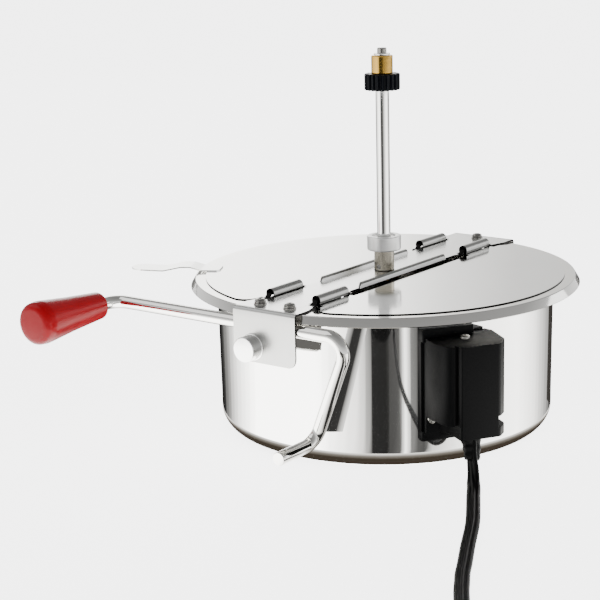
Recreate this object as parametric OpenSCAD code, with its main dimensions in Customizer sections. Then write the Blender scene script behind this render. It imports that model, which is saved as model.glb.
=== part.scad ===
// Hinged-lid popping kettle of a popcorn machine, with its dump handle,
// stirrer drive and mains lead. Millimetres, +Z up, base plane at z = 0.
// The kettle axis is the Z axis. The crossbar and both pivot pins lie along Y,
// the dump grip is on the -X side and the terminal box on the +X side.

/* [Pot] */
// Height of the flat rim above the base
rim_z = 96; // [90:0.5:110]
// Radius of the flat rim at its top edge
rim_r = 119.5; // [117:0.5:121]
// Outside radius of the pot wall just below the rim
pot_r = 106; // [104:0.5:107]
// Outside radius of the rounded lower edge of the pot
pot_corner_r = 13; // [8:0.5:16]
// Sheet thickness of the outer pot
pot_sheet = 0.8; // [0.6:0.1:1.2]
// Height of the cooking floor above the base
pan_floor_z = 35; // [34:0.5:38]

/* [Lids and crossbar] */
// Outside radius of the two half lids
lid_r = 113; // [110:0.5:115]
// Sheet thickness of the lids
lid_sheet = 0.7; // [0.6:0.1:0.8]
// Width of the crossbar at its two ends
bar_w = 45; // [44:0.5:46]
// Width of the crossbar between the hinges
bar_mid_w = 30; // [28:0.5:31]
// Sheet thickness of the crossbar
bar_sheet = 1.2; // [1:0.1:1.5]
// Distance of each hinge axis from the middle of the bar
hinge_x = 17; // [16.5:0.1:17.5]
// Outside radius of the rolled hinge tabs
roll_r = 3.2; // [3:0.1:3.4]
// Lid opening angle shown, left and right alike
lid_open = 0; // [0:5:90]

/* [Stirrer drive] */
// Outside diameter of the drive tube
tube_d = 8.4; // [8:0.1:9]
// Height of the drive gear above the rim
gear_rise = 115; // [100:1:120]
// Outside diameter of the drive gear
gear_d = 22; // [20:0.5:24]
// Number of gear teeth
gear_teeth = 20; // [16:1:24]

/* [Handle] */
// Diameter of the handle rod
rod_d = 8; // [7:0.5:8]
// Distance of the grip from the kettle axis, to the left
grip_x = 121; // [115:1:130]
// Largest diameter of the grip
grip_d = 26.5; // [24:0.5:28]
// Length of the grip
grip_len = 57; // [50:1:65]

/* [Pivot pins] */
// Diameter of the two pivot pins
pin_d = 15; // [12:0.5:16]
// Free length of each pivot pin outside its shoulder
pin_len = 8; // [7:0.5:10]

/* [Terminal box] */
// Direction of the terminal box, turned from -Y towards +X
box_angle = 57; // [50:1:62]
// Width of the terminal box
box_w = 43; // [40:1:46]
// Distance of the box front from the kettle axis
box_front = 133; // [130:1:138]

/* [Hidden] */

$fn = 48;
eps = 0.05;
bend_lap = 0.3;                      // a straight leg reaches this far into a bend
bend_swell = 0.04;                   // a bend is this much thicker than its legs

// Heights and radii that follow from the sizes above
rim_sheet = 1;                       // sheet of the inner pan and its rim
rim_drop = 4.8;                      // height of the flared skirt
skirt_r = rim_r + 2.8;               // outside radius of the skirt's lower edge
bar_top = rim_z + bar_sheet;
roll_z = rim_z + roll_r - 0.1;       // height of both hinge axes
flange_y = skirt_r + 0.6;            // inner face of each end flange of the bar
flange_drop = 31;                    // height of an end flange below the rim
pan_r = 98;                          // inside radius of the pan at the rim
pan_corner_r = 12;
base_recess_r = 58;
base_recess = 3;                     // depth of the recess in the base
spreader_z = pan_floor_z - rim_sheet - 4;
element_r = 58;                      // radius of the ring of the heater
element_d = 8;
element_z = spreader_z - element_d / 2;
clamp_z = spreader_z - element_d - 1.5;
stud_r = 30;                         // the three base studs stand on this radius
stud_d = 5;
hinge_from = 67;                     // a rolled tab runs from here ...
hinge_to = 96;                       // ... to here, measured from the middle
rib_half = 47;                       // half length of the turned-up bar edges at their crest
rib_rise = 2.3;                      // height of the turned-up bar edges
pin_x = -8.5;                        // the pivot pins stand left of the bar's middle
pin_z = rim_z - 21.8;
rod_y = -(flange_y - rod_d / 2);     // centre line of the handle rod
rod_z = rim_z - 9.5;
rod_bend = 10;                       // radius of its bends, on the centre line
gear_z = rim_z + gear_rise;
gear_h = 10;
bush_d = 13.3;
bush_h = 11.3;
spindle_d = 8;
box_back = 107.5;                    // the cover starts this far from the axis
box_foot_z = 24.5;                   // underside of the cover
collar_z = rim_z + 14.5;             // underside of the thrust collar
collar_d = 21.5;
collar_h = 9;
sleeve_d = 12.6;                     // sleeve that couples the tube to the spindle
set_screw_z = rim_z + 4;
bar_screws_at = [[-10.8, -113], [10.8, -113], [0, 113]];  // two screws in front, one behind
pin_shoulder = 0.9;
pin_thread_d = 8;
screw_x = 18;                        // the two lower cover screws stand this far out
screw_z = 33.5;
cover_screw_d = 2.5;
roof_z = 80;
roof_tilt = 4;
roof_screw_y = 118;
pocket_z = 30;                       // the lower corners are cut back around the screws
pocket_h = 7;
pocket_in = 111;                     // the cut stops this far from the kettle axis
leads_z = 46;                        // the inner leads leave the pot at this height
leads_r = 101.4;                     // they rise between the pan and the pot wall
arm_z = pan_floor_z + 4.6;           // underside of the stirrer arms
arm_h = 10;
arm_t = 2.4;
tab_w = 17;                          // width of the left lid's lift tab
tab_angle = 28.5;                    // its direction, turned from -X towards -Y
tab_reach = 51;                      // how far it reaches past the lid

// Lead: flat three-core cord, 8 mm wide and 3.2 mm thick. The first points run
// down from the box through the strain relief, the others lie on the base plane.
cord_w = 8;
cord_t = 3.2;
coil_r = 44;                         // radius at the middle of the inner turns
coil_centre = [224, -349];
coil_h = 16.8;                       // two turns standing on each other
coil_wall = 7;                       // two turns beside each other
coil_in = coil_r - cord_t / 2 - 0.2; // inside radius of the coil
coil_foot = 0.6;                     // the coil rests on its tie
relief_n = 3;                        // the relief covers the route's first legs
relief_hole = 15;                    // hole for the relief in the cover's underside
relief_at = [2.8, 120];
route = [
    [102, -63, 26.5], [103, -64.5, 22], [104.5, -66, 17.5], [107, -69.5, 11],
    [111, -75, 6], [115, -81.5, 3], [119.5, -88.5, 1.9], [124.5, -97, 1.75],
    [130.5, -107, 1.75], [136.5, -117, 1.75], [143, -128, 1.75], [149, -139, 1.75],
    [155, -151, 1.75], [161, -163, 1.75], [166.5, -173.5, 1.75], [172, -184, 1.75],
    [177, -194, 1.75], [182.5, -203.5, 1.75], [188, -213, 1.75], [194, -222.5, 1.75],
    [201, -234, 1.75], [208.5, -245.5, 1.75], [216, -257, 1.75], [223.5, -268.5, 1.75],
    [231.5, -280, 1.9], [239, -291.5, 2.4], [247, -303.5, 3.1], [254.5, -315, 3.8]
];
tail_route = [
    [224, -396.5, 13], [214, -396.2, 13], [205, -395, 13], [198, -393.5, 13],
    [194, -393, 13], [190, -393, 13]
];
plug_x = 172;                        // back of the plug's body
plug_y = -393;
plug_z = 13;
plug_len = 30;
plug_w = 26;

steel = [0.80, 0.80, 0.79];
dark_steel = [0.58, 0.58, 0.57];
black = [0.09, 0.09, 0.10];

// ---------- helpers ----------
function unit(v) = v / norm(v);
function arc(cx, cy, r, a0, a1, n = 8) =
    [for (i = [0 : n]) [cx + r * cos(a0 + (a1 - a0) * i / n), cy + r * sin(a0 + (a1 - a0) * i / n)]];
function lerp(a, b, t) = a + (b - a) * t;

// Places its children with x across the terminal box, y towards the kettle's
// outside and z up, at the given distance from the kettle axis.
module at_box(out = 0) {
    rotate([0, 0, box_angle - 180]) mirror([1, 0, 0]) translate([0, out, 0]) children();
}

// A rod of radius r along points p, with every inner corner bent to radius rb.
module bent_rod(p, r, rb) {
    n = len(p);
    cut = [for (i = [0 : n - 1]) (i == 0 || i == n - 1) ? 0 :
        let (a = unit(p[i] - p[i - 1]), b = unit(p[i + 1] - p[i])) rb * tan(acos(a * b) / 2)];
    for (i = [0 : n - 2]) {
        d = unit(p[i + 1] - p[i]);
        from = p[i] + d * (cut[i] - (i == 0 ? 0 : bend_lap));
        to = p[i + 1] - d * (cut[i + 1] - (i == n - 2 ? 0 : bend_lap));
        along(from, d) cylinder(r = r, h = norm(to - from));
    }
    for (i = [1 : n - 2]) {
        a = unit(p[i] - p[i - 1]);
        b = unit(p[i + 1] - p[i]);
        turn = acos(a * b);
        side = unit(cross(cross(a, b), a));
        start = p[i] - a * cut[i];
        centre = start + side * rb;
        x = -side;
        z = cross(x, a);
        multmatrix([[x[0], a[0], z[0], centre[0]], [x[1], a[1], z[1], centre[1]],
                    [x[2], a[2], z[2], centre[2]], [0, 0, 0, 1]])
            rotate_extrude(angle = turn) translate([rb, 0]) circle(r = r + bend_swell);
    }
}

// Turns z to direction d at point p.
module along(p, d) {
    h = abs(d[2]) > 0.9 ? [1, 0, 0] : [0, 0, 1];
    x = unit(cross(h, d));
    y = cross(d, x);
    multmatrix([[x[0], y[0], d[0], p[0]], [x[1], y[1], d[1], p[1]],
                [x[2], y[2], d[2], p[2]], [0, 0, 0, 1]]) children();
}

// Sweeps an oblong section along points p. w and t are the half width and the
// half thickness at every point; the width stays level.
module swept(p, w, t, sides = 10) {
    n = len(p);
    dirs = [for (i = [0 : n - 1]) unit(p[min(i + 1, n - 1)] - p[max(i - 1, 0)])];
    wide = [for (d = dirs) unit(cross([0, 0, 1], norm([d[0], d[1]]) > 0.2 ? d : [d[0], d[1], 0]))];
    pts = [for (i = [0 : n - 1], k = [0 : sides - 1])
        let (a = 360 * (k + 0.5) / sides, up = cross(dirs[i], wide[i]))
        p[i] + wide[i] * w[i] * cos(a) + up * t[i] * sin(a) / cos(180 / sides)];
    polyhedron(pts, concat(
        [[for (k = [0 : sides - 1]) k]],
        [for (i = [0 : n - 2], k = [0 : sides - 1])
            let (a = i * sides + k, b = i * sides + (k + 1) % sides) [a, a + sides, b + sides, b]],
        [[for (k = [sides - 1 : -1 : 0]) (n - 1) * sides + k]]
    ));
}

module hex_nut(af, h, bore) {
    difference() {
        cylinder(d = af / cos(30), h = h, $fn = 6);
        translate([0, 0, -1]) cylinder(d = bore, h = h + 2);
    }
}

module pan_head(d, h) {
    rotate_extrude()
        polygon(concat([[0, 0], [d / 2, 0]], arc(d / 2 - 0.6, h - 0.6, 0.6, 0, 90, 4), [[0, h]]));
}

// ---------- pot ----------
module pot_shell() {
    c = pot_corner_r;
    r = pot_r - 0.8;                 // the wall narrows a little towards the base
    s = pot_sheet;
    color(steel) difference() {
        rotate_extrude($fn = 128) polygon(concat(
            [[0, base_recess], [base_recess_r - 3, base_recess], [base_recess_r, 0], [r - c, 0]],
            arc(r - c, c, c, -90, 0, 12),
            [[pot_r, rim_z - rim_sheet], [pot_r - s, rim_z - rim_sheet]],
            arc(r - c, c, c - s, 0, -90, 12),
            [[base_recess_r + 0.3, s], [base_recess_r - 2.7, base_recess + s], [0, base_recess + s]]
        ));
        for (a = [0, 120, 240])
            rotate([0, 0, a]) translate([stud_r, 0, 0]) cylinder(d = stud_d + 0.2, h = 8);
        at_box(95) translate([0, 0, leads_z]) rotate([-90, 0, 0]) cylinder(d = 12, h = 20);
        at_box(95) for (z = [70, 32]) translate([0, 0, z]) rotate([-90, 0, 0]) cylinder(d = 3.4, h = 20);
    }
}

module inner_pan() {
    c = pan_corner_r;
    wall = pan_r - 1;
    color(steel) difference() {
        rotate_extrude($fn = 128) polygon(concat(
            [[0, pan_floor_z], [wall - c, pan_floor_z]],
            arc(wall - c, pan_floor_z + c, c, -90, 0, 10),
            arc(pan_r + 3, rim_z - 3, 3, 180, 90, 6),
            [[rim_r - 0.8, rim_z], [rim_r, rim_z - 0.5], [skirt_r, rim_z - rim_drop],
             [skirt_r - 1, rim_z - rim_drop - 0.3], [rim_r - 1, rim_z - rim_sheet]],
            arc(pan_r + 3, rim_z - 3, 2, 90, 180, 6),
            arc(wall - c, pan_floor_z + c, c + 1, 0, -90, 10),
            [[0, pan_floor_z - 1]]
        ));
        cylinder(d = 6, h = 100);
        for (at = bar_screws_at) translate([at[0], at[1], rim_z - 5]) cylinder(d = 4.4, h = 10);
    }
}

module heat_spreader() {
    color([0.70, 0.71, 0.73]) difference() {
        translate([0, 0, spreader_z]) cylinder(r = 78, h = 4, $fn = 96);
        translate([0, 0, spreader_z - 1]) cylinder(d = 14, h = 6);
        for (a = [0, 120, 240])
            rotate([0, 0, a]) translate([stud_r, 0, spreader_z - 1]) cylinder(d = stud_d, h = 6);
    }
}

// The heater is a ring open towards the terminal box, with two cold ends.
module heating_element() {
    gap = 12;
    out = box_angle - 90;
    color([0.45, 0.42, 0.40]) {
        rotate([0, 0, out + gap]) translate([0, 0, element_z])
            rotate_extrude(angle = 360 - 2 * gap, $fn = 96) translate([element_r, 0]) circle(d = element_d);
        for (s = [-1, 1]) rotate([0, 0, out + s * gap]) translate([element_r, 0, element_z]) {
            rotate([0, 90, 0]) cylinder(d = element_d, h = 14);
            rotate([0, 90, 0]) cylinder(d = 3, h = 26);
            sphere(d = element_d + 0.2);
        }
    }
}

module element_clamp() {
    color([0.62, 0.62, 0.60]) difference() {
        translate([0, 0, clamp_z]) cylinder(r = 70, h = 1.5, $fn = 96);
        translate([0, 0, clamp_z - 1]) cylinder(r = 20, h = 4);
        for (a = [0, 120, 240])
            rotate([0, 0, a]) translate([stud_r, 0, clamp_z - 1]) cylinder(d = stud_d, h = 4);
    }
}

module base_studs() {
    color(dark_steel) for (a = [0, 120, 240])
        rotate([0, 0, a]) translate([stud_r, 0, 0.4]) cylinder(d = stud_d, h = spreader_z + 3.6);
}

module base_nuts() {
    color(dark_steel) for (a = [0, 120, 240])
        rotate([0, 0, a]) translate([stud_r, 0, 0.4]) hex_nut(8, base_recess - 0.4, stud_d);
}

module insulation_pad() {
    color([0.88, 0.87, 0.83]) difference() {
        translate([0, 0, base_recess + pot_sheet]) cylinder(r = 54, h = 6, $fn = 96);
        for (a = [0, 120, 240])
            rotate([0, 0, a]) translate([stud_r, 0, 0]) cylinder(d = stud_d + 0.4, h = 20);
    }
}

module thermostat() {
    translate([-38, 14, clamp_z]) mirror([0, 0, 1]) color([0.15, 0.15, 0.16]) {
        cylinder(d = 16, h = 7);
        for (s = [-1, 1]) translate([s * 5 - 0.4, -3, 7]) cube([0.8, 6, 2.4]);
    }
}

module thermal_fuse() {
    color([0.85, 0.80, 0.62]) translate([-10, -42, clamp_z - 2.5]) rotate([0, 90, 0]) {
        cylinder(d = 5, h = 16);
        translate([0, 0, -6]) cylinder(d = 1.2, h = 28);
    }
}

// Three leads run from the heater and its clamp out through the grommet.
module internal_leads() {
    out = [sin(box_angle), -cos(box_angle), 0];
    side = [cos(box_angle), sin(box_angle), 0];
    cold_end = element_r + 26.7;
    color([0.85, 0.85, 0.82]) for (k = [-1, 0, 1]) {
        low = k == 0 ? clamp_z - 1.3 : element_z;
        bent_rod([
            k == 0 ? out * 66 + [0, 0, low]
                   : out * cold_end * cos(12) + side * k * cold_end * sin(12) + [0, 0, low],
            out * leads_r + side * k * 12 + [0, 0, low],
            out * leads_r + side * k * 3.2 + [0, 0, leads_z],
            out * 110 + side * k * 3.2 + [0, 0, leads_z],
            out * 116 + side * k * 9 + [0, 0, leads_z + 3],
            out * 116 + side * k * 9 + [0, 0, leads_z + 8]
        ], 1.3, 3);
    }
}

module lead_grommet() {
    color(black) at_box(103) translate([0, 0, leads_z]) rotate([-90, 0, 0]) difference() {
        union() {
            cylinder(d = 11.9, h = 5.5);
            cylinder(d = 15, h = 0.8);
        }
        translate([0, 0, -1]) cylinder(d = 9.8, h = 9);
    }
}

// ---------- crossbar and hinges ----------
// Flat outline of one quarter of the bar, mirrored to both sides and ends.
module bar_outline() {
    w = bar_w / 2;
    m = bar_mid_w / 2;
    y0 = hinge_from - 3;
    y1 = hinge_to + 3;
    slot_x = hinge_x - roll_r - 0.4;
    for (sx = [0, 1], sy = [0, 1]) mirror([sx, 0]) mirror([0, sy])
        polygon([[0, 0], [m, 0], [m, y0 - 2], [m + 3.7, y0], [slot_x, y0], [slot_x, y1],
                 [w - 1, y1], [w, y1 + 1], [w, flange_y + bar_sheet], [0, flange_y + bar_sheet]]);
}

// The strip that a rolled tab turns on: lifted out of the bar over a window.
module hinge_strip() {
    half = 1.7;
    low = rim_z;
    lift = roll_z - bar_sheet / 2 - rim_z;
    y0 = hinge_from - 3;
    y1 = hinge_to + 3;
    translate([hinge_x + half, 0, 0]) rotate([0, -90, 0]) linear_extrude(2 * half) polygon([
        [low, y0 - 2], [low, y0], [low + lift, y0 + 2.5], [low + lift, y1 - 2.5], [low, y1], [low, y1 + 2],
        [low + bar_sheet, y1 + 2], [low + bar_sheet, y1 + 0.4], [low + lift + bar_sheet, y1 - 2.1],
        [low + lift + bar_sheet, y0 + 2.1], [low + bar_sheet, y0 - 0.4], [low + bar_sheet, y0 - 2]
    ]);
}

module crossbar() {
    w = bar_w / 2;
    m = bar_mid_w / 2;
    color([0.83, 0.83, 0.81]) {
        difference() {
            union() {
                translate([0, 0, rim_z]) linear_extrude(bar_sheet) bar_outline();
                for (s = [-1, 1]) end_flange(s);
                for (s = [-1, 1]) translate([s * m - (s > 0 ? bar_sheet : 0), 0, 0])
                    rotate([90, 0, 90]) linear_extrude(bar_sheet) polygon([
                        [-rib_half - 1.5, rim_z], [-rib_half - 1.5, bar_top],
                        [-rib_half, bar_top + rib_rise], [rib_half, bar_top + rib_rise],
                        [rib_half + 1.5, bar_top], [rib_half + 1.5, rim_z]]);
            }
            translate([0, 0, rim_z - 1]) cylinder(d = 13, h = 8);
            for (at = bar_screws_at) translate([at[0], at[1], rim_z - 1]) cylinder(d = 4.2, h = 4);
        }
        for (sx = [0, 1], sy = [0, 1]) mirror([sx, 0, 0]) mirror([0, sy, 0]) hinge_strip();
    }
}

// One end of the bar, bent down in front of the skirt; it carries a pivot pin.
module end_flange(side) {
    w = bar_w / 2;
    c = 5;
    foot = rim_z - flange_drop;
    mirror([0, side > 0 ? 0 : 1, 0]) difference() {
        translate([0, flange_y + bar_sheet, 0]) rotate([90, 0, 0]) linear_extrude(bar_sheet)
            polygon(concat([[-w, bar_top - eps], [-w, foot + c]], arc(-w + c, foot + c, c, 180, 270, 6),
                arc(w - c, foot + c, c, -90, 0, 6), [[w, bar_top - eps]]));
        translate([pin_x, flange_y - 1, pin_z]) rotate([-90, 0, 0]) cylinder(d = pin_thread_d, h = 4);
    }
}

module bar_screws() {
    color(dark_steel) for (at = bar_screws_at) translate([at[0], at[1], 0]) {
        translate([0, 0, bar_top]) cylinder(d = 7.4, h = 0.8);
        translate([0, 0, bar_top + 0.8]) difference() {
            pan_head(6.8, 2.6);
            translate([-4, -0.5, 1.5]) cube([8, 1, 2]);
        }
        translate([0, 0, rim_z - 6]) cylinder(d = 4, h = 7.5);
    }
}

module bar_nuts() {
    color(dark_steel) for (at = bar_screws_at)
        translate([at[0], at[1], rim_z - rim_sheet - 3.2]) hex_nut(6, 3.2, 4);
}

// Both bearings that the stirrer turns in.
module shaft_bush() {
    color([0.72, 0.58, 0.30]) difference() {
        union() {
            translate([0, 0, rim_z - 3]) cylinder(d = 13, h = 4.2);
            translate([0, 0, rim_z - 4]) cylinder(d = 18, h = 4);
        }
        translate([0, 0, rim_z - 5]) cylinder(d = spindle_d + 0.1, h = 8);
    }
}

module pan_bearing() {
    color(dark_steel) difference() {
        union() {
            translate([0, 0, pan_floor_z]) cylinder(d = 16, h = 3);
            translate([0, 0, pan_floor_z - 5]) cylinder(d = 6, h = 6);
        }
        translate([0, 0, pan_floor_z + 1]) cylinder(d = 6.1, h = 4);
    }
}

// ---------- pivot pins and handle ----------
module pivot_pin() {
    end = bar_sheet + pin_shoulder + pin_len;
    translate([pin_x, flange_y, pin_z]) rotate([-90, 0, 0]) {
        translate([0, 0, bar_sheet]) cylinder(d = pin_d + 1, h = pin_shoulder);
        rotate_extrude() polygon([[0, bar_sheet], [pin_d / 2, bar_sheet], [pin_d / 2, end - 0.6],
            [pin_d / 2 - 0.6, end], [0, end]]);
        translate([0, 0, -4.6]) cylinder(d = pin_thread_d, h = 6.6);
    }
}

module pivot_pin_front() { color(steel) mirror([0, 1, 0]) pivot_pin(); }
module pivot_pin_rear() { color(steel) pivot_pin(); }

module pin_nuts() {
    color(dark_steel) for (s = [0, 1]) mirror([0, s, 0])
        translate([pin_x, flange_y, pin_z]) rotate([90, 0, 0]) hex_nut(13, 4.2, pin_thread_d);
}

module handle_rod() {
    top = [57, rod_y, rod_z];
    foot = [31.5, rod_y, 21.5];
    color(steel) bent_rod([
        [-grip_x, rod_y - 60, rod_z], [-grip_x, rod_y, rod_z], top, foot, [foot[0], rod_y - 35, foot[2]]
    ], rod_d / 2, rod_bend);
}

module handle_grip() {
    tip = -rod_y + 15 + grip_len;
    r1 = 8.5;
    r2 = grip_d / 2;
    color([0.80, 0.06, 0.08]) translate([-grip_x, 0, rod_z]) rotate([90, 0, 0]) difference() {
        rotate_extrude($fn = 64) polygon(concat(
            [[0, tip - grip_len], [r1 - 1.5, tip - grip_len]],
            arc(r1 - 1.5, tip - grip_len + 1.5, 1.5, -90, 0, 4),
            [[r2 - 1.2, tip - 14]],
            arc(r2 - 6, tip - 6, 6, 0, 90, 8),
            [[0, tip]]));
        translate([0, 0, 50]) cylinder(d = rod_d, h = -rod_y + 60 - 50);
    }
}

// ---------- lids ----------
// Flat outline of the right lid: a half disc with rounded corners and tabs towards
// the hinge axis. Its straight side comes as close to the bar's middle as edge says.
module lid_outline(edge) {
    x0 = bar_w / 2 + 0.6;
    c = 9;
    cy = sqrt(pow(lid_r - c, 2) - pow(x0 + c, 2));
    a = atan2(cy, x0 + c);
    tab = hinge_x + 1.2;
    polygon(concat(
        [[x0, -62], [edge, -58], [edge, 58], [x0, 62], [x0, hinge_from],
         [tab, hinge_from], [tab, hinge_to], [x0, hinge_to]],
        arc(x0 + c, cy, c, 180, a, 8),
        [for (t = [a - 3 : -(a * 2 - 6) / 60 : -a + 3 - 0.01]) [lid_r * cos(t), lid_r * sin(t)]],
        arc(x0 + c, -cy, c, -a, -180, 8),
        [[x0, -hinge_to], [tab, -hinge_to], [tab, -hinge_from], [x0, -hinge_from]]));
}

module lid_plate(edge) {
    translate([0, 0, rim_z]) linear_extrude(lid_sheet) lid_outline(edge);
    long = hinge_to - hinge_from;
    reach = roll_r + 1;
    for (y = [hinge_to, -hinge_from])
        translate([hinge_x, y, roll_z]) rotate([90, 0, 0]) difference() {
            cylinder(r = roll_r, h = long);
            translate([0, 0, -1]) cylinder(r = roll_r - lid_sheet, h = long + 2);
            translate([0, 0, -1]) linear_extrude(long + 2)
                polygon([[0, 0], reach * [cos(-36), sin(-36)], reach * [cos(-16), sin(-16)]]);
        }
}

module lift_tab() {
    // Side view: outwards along x, up along y
    top = [[lid_r - 4, 0], [lid_r + 4, 0], [lid_r + 11, 2], [lid_r + 17, 2], [lid_r + 29, -0.5],
           [lid_r + tab_reach, 0.3]];
    t = 0.9;
    w = tab_w / 2;
    nose = lid_r + tab_reach - w;
    rotate([0, 0, 180 + tab_angle]) intersection() {
        translate([0, w, rim_z]) rotate([90, 0, 0]) linear_extrude(tab_w) polygon(concat(
            top, [for (i = [len(top) - 1 : -1 : 0]) top[i] + [0, -t]]));
        union() {
            translate([0, 0, rim_z - 10]) linear_extrude(20) translate([0, -w]) square([nose, tab_w]);
            translate([nose, 0, rim_z - 10]) cylinder(r = w, h = 20);
        }
    }
}

module turned_lid(side) {
    translate([side * hinge_x, 0, roll_z]) rotate([0, -side * lid_open, 0])
        translate([-side * hinge_x, 0, -roll_z]) children();
}

module lid_right() { color([0.86, 0.86, 0.85]) turned_lid(1) lid_plate(bar_w / 2 + 0.5); }
module lid_left() {
    color([0.86, 0.86, 0.85]) turned_lid(-1) {
        mirror([1, 0, 0]) lid_plate(bar_mid_w / 2 + 1.3);
        translate([0, 0, lid_sheet + 0.9]) lift_tab();
    }
}

// ---------- stirrer ----------
module ring(z, d, h, bore) {
    translate([0, 0, z]) difference() {
        cylinder(d = d, h = h);
        translate([0, 0, -1]) cylinder(d = bore, h = h + 2);
    }
}

module drive_tube() { color(steel) ring(rim_z + 12, tube_d, gear_z - rim_z - 12, 5); }
module coupling_sleeve() {
    color([0.62, 0.60, 0.52]) difference() {
        ring(bar_top + 0.4, sleeve_d, collar_z - bar_top - 0.4, tube_d);
        translate([0, 0, set_screw_z]) rotate([90, 0, 0]) cylinder(d = 3.4, h = 10);
    }
}
module thrust_collar() { color([0.9, 0.9, 0.9]) ring(collar_z, collar_d, collar_h, tube_d); }
module set_screw() {
    color(black) translate([0, -spindle_d / 2, set_screw_z]) rotate([90, 0, 0]) difference() {
        cylinder(d = 3.4, h = 2.2);
        translate([0, 0, 1.2]) cylinder(d = 1.8, h = 2, $fn = 6);
    }
}
module drive_gear() {
    step = 360 / gear_teeth;
    tip = gear_d / 2;
    root = tip - 1.6;
    color(black) difference() {
        translate([0, 0, gear_z]) linear_extrude(gear_h) polygon([for (i = [0 : gear_teeth - 1])
            each [for (q = [[root, -0.42], [root, -0.28], [tip, -0.13], [tip, 0.13], [root, 0.28]])
                let (a = (i + q[1]) * step) [q[0] * cos(a), q[0] * sin(a)]]]);
        translate([0, 0, gear_z - 1]) cylinder(d = 6, h = gear_h + 2);
    }
}
module top_screw() {
    over = gear_h + bush_h;              // height of the bush's top above the gear's foot
    color(dark_steel) translate([0, 0, gear_z]) {
        translate([0, 0, -20]) cylinder(d = 5, h = 20 + gear_h);
        cylinder(d = 6, h = over + 0.25);
        translate([0, 0, over + 0.2]) cylinder(d = 4, h = 1.6);
        translate([0, 0, over + 1.3]) pan_head(5.8, 3.2);
    }
}
module bearing_bush() {
    z = gear_z + gear_h + 0.1;
    color([0.80, 0.62, 0.25]) translate([0, 0, z]) difference() {
        rotate_extrude() polygon([[0, 0], [bush_d / 2, 0], [bush_d / 2, bush_h - 0.8],
            [bush_d / 2 - 0.6, bush_h - 0.2], [0, bush_h - 0.2]]);
        translate([0, 0, -1]) cylinder(d = 6.1, h = bush_h + 2);
    }
}
module top_washer() { color(dark_steel) ring(gear_z + gear_h + bush_h + 0.3, 10, 1, 4); }

module stirrer_spindle() {
    color(steel) {
        translate([0, 0, pan_floor_z + 3.2]) cylinder(d = spindle_d, h = rim_z + 12 - pan_floor_z - 3.2);
        translate([0, 0, pan_floor_z + 1.4]) cylinder(d = 6, h = 3);
        translate([0, 0, rim_z + 12]) cylinder(d = 5, h = 8);
    }
}

// Two cranked arms sweep the cooking floor; one also carries an upright finger.
module stirrer_arms() {
    reach = 84;                          // the cranked tips start here
    finger_at = 58.8;
    color(dark_steel) {
        difference() {
            translate([0, 0, arm_z - 0.6]) cylinder(d = 18, h = 14);
            translate([0, 0, arm_z - 2]) cylinder(d = spindle_d, h = 18);
        }
        for (a = [0, 180]) rotate([0, 0, a]) difference() {
            union() {
                translate([8, -arm_t / 2, arm_z]) cube([reach - 8, arm_t, arm_h]);
                translate([reach, 0, arm_z]) rotate([0, 0, 35])
                    translate([-arm_t / 2, -arm_t / 2, 0]) cube([arm_t, 12, arm_h]);
            }
            for (x = [26, 44, 62]) translate([x, 0, arm_z + 5])
                rotate([90, 0, 0]) cylinder(d = 4.5, h = 6, center = true);
        }
        rotate([0, 0, 90]) translate([8, -arm_t / 2, arm_z + 6]) cube([finger_at - 6.8, arm_t, 6]);
        rotate([0, 0, 90]) translate([finger_at, 0, arm_z]) cylinder(d = 4, h = 12);
    }
}

// ---------- terminal box ----------
// Plan of the cover: a deep round on the left, a small one on the right.
module box_plan(grow = 0) {
    w = box_w / 2 + grow;
    f = box_front + grow;
    c = 6;
    lobe = 10;
    deep = f - box_back - 2;
    polygon(concat([[-w, box_back], [w, box_back]], arc(w - c, f - c, c, 0, 90, 6), [[-w + lobe + 2, f]],
        [for (i = [0 : 8])
            [-w + lobe - lobe * sin(i * 11.25), box_back + 2 + deep * cos(i * 11.25) - 0.6]]));
}

module box_base() {
    w = box_w / 2 + 1.5;
    back = 96;
    top = 86.5;
    color(black) at_box() difference() {
        union() {
            translate([0, 0, 19]) linear_extrude(61)
                polygon([[-w, back], [w, back], [w, box_back], [-w, box_back]]);
            translate([-w, back, 79]) cube([w + 9, box_back - back, top - 79]);
            translate([-w, box_back - 1, 82]) cube([w + 9, 4, top - 82]);
            translate([-9, box_back - 1, 52]) cube([18, 3, 18]);
        }
        cylinder(r = pot_r + 0.2, h = 300, center = true, $fn = 128);
        translate([0, 90, leads_z]) rotate([-90, 0, 0]) cylinder(d = 16, h = 30);
        for (s = [-1, 1]) translate([s * screw_x, 90, screw_z])
            rotate([-90, 0, 0]) cylinder(d = cover_screw_d + 0.2, h = 30);
    }
}

module box_cover() {
    wall = 2.2;
    color(black) at_box() {
        difference() {
            translate([0, 0, box_foot_z]) linear_extrude(60) box_plan();
            translate([0, 0, box_foot_z + wall]) linear_extrude(60) box_plan(-wall);
            roof_part(60);
            for (s = [-1, 1]) side_pocket(s, 0);
            translate([relief_at[0], relief_at[1], 0]) cylinder(d = relief_hole, h = 60);
        }
        difference() {
            intersection() {
                translate([0, 0, box_foot_z]) linear_extrude(60) box_plan();
                roof_part(-wall);
            }
            translate([0, roof_screw_y, 60]) cylinder(d = cover_screw_d + 0.2, h = 40);
        }
        for (s = [-1, 1]) difference() {
            intersection() {
                translate([0, 0, box_foot_z]) linear_extrude(60) box_plan();
                side_pocket(s, 1.6);
            }
            side_pocket(s, 0);
            translate([s * screw_x, 100, screw_z]) rotate([-90, 0, 0])
                cylinder(d = cover_screw_d + 0.2, h = 40);
        }
    }
}

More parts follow.
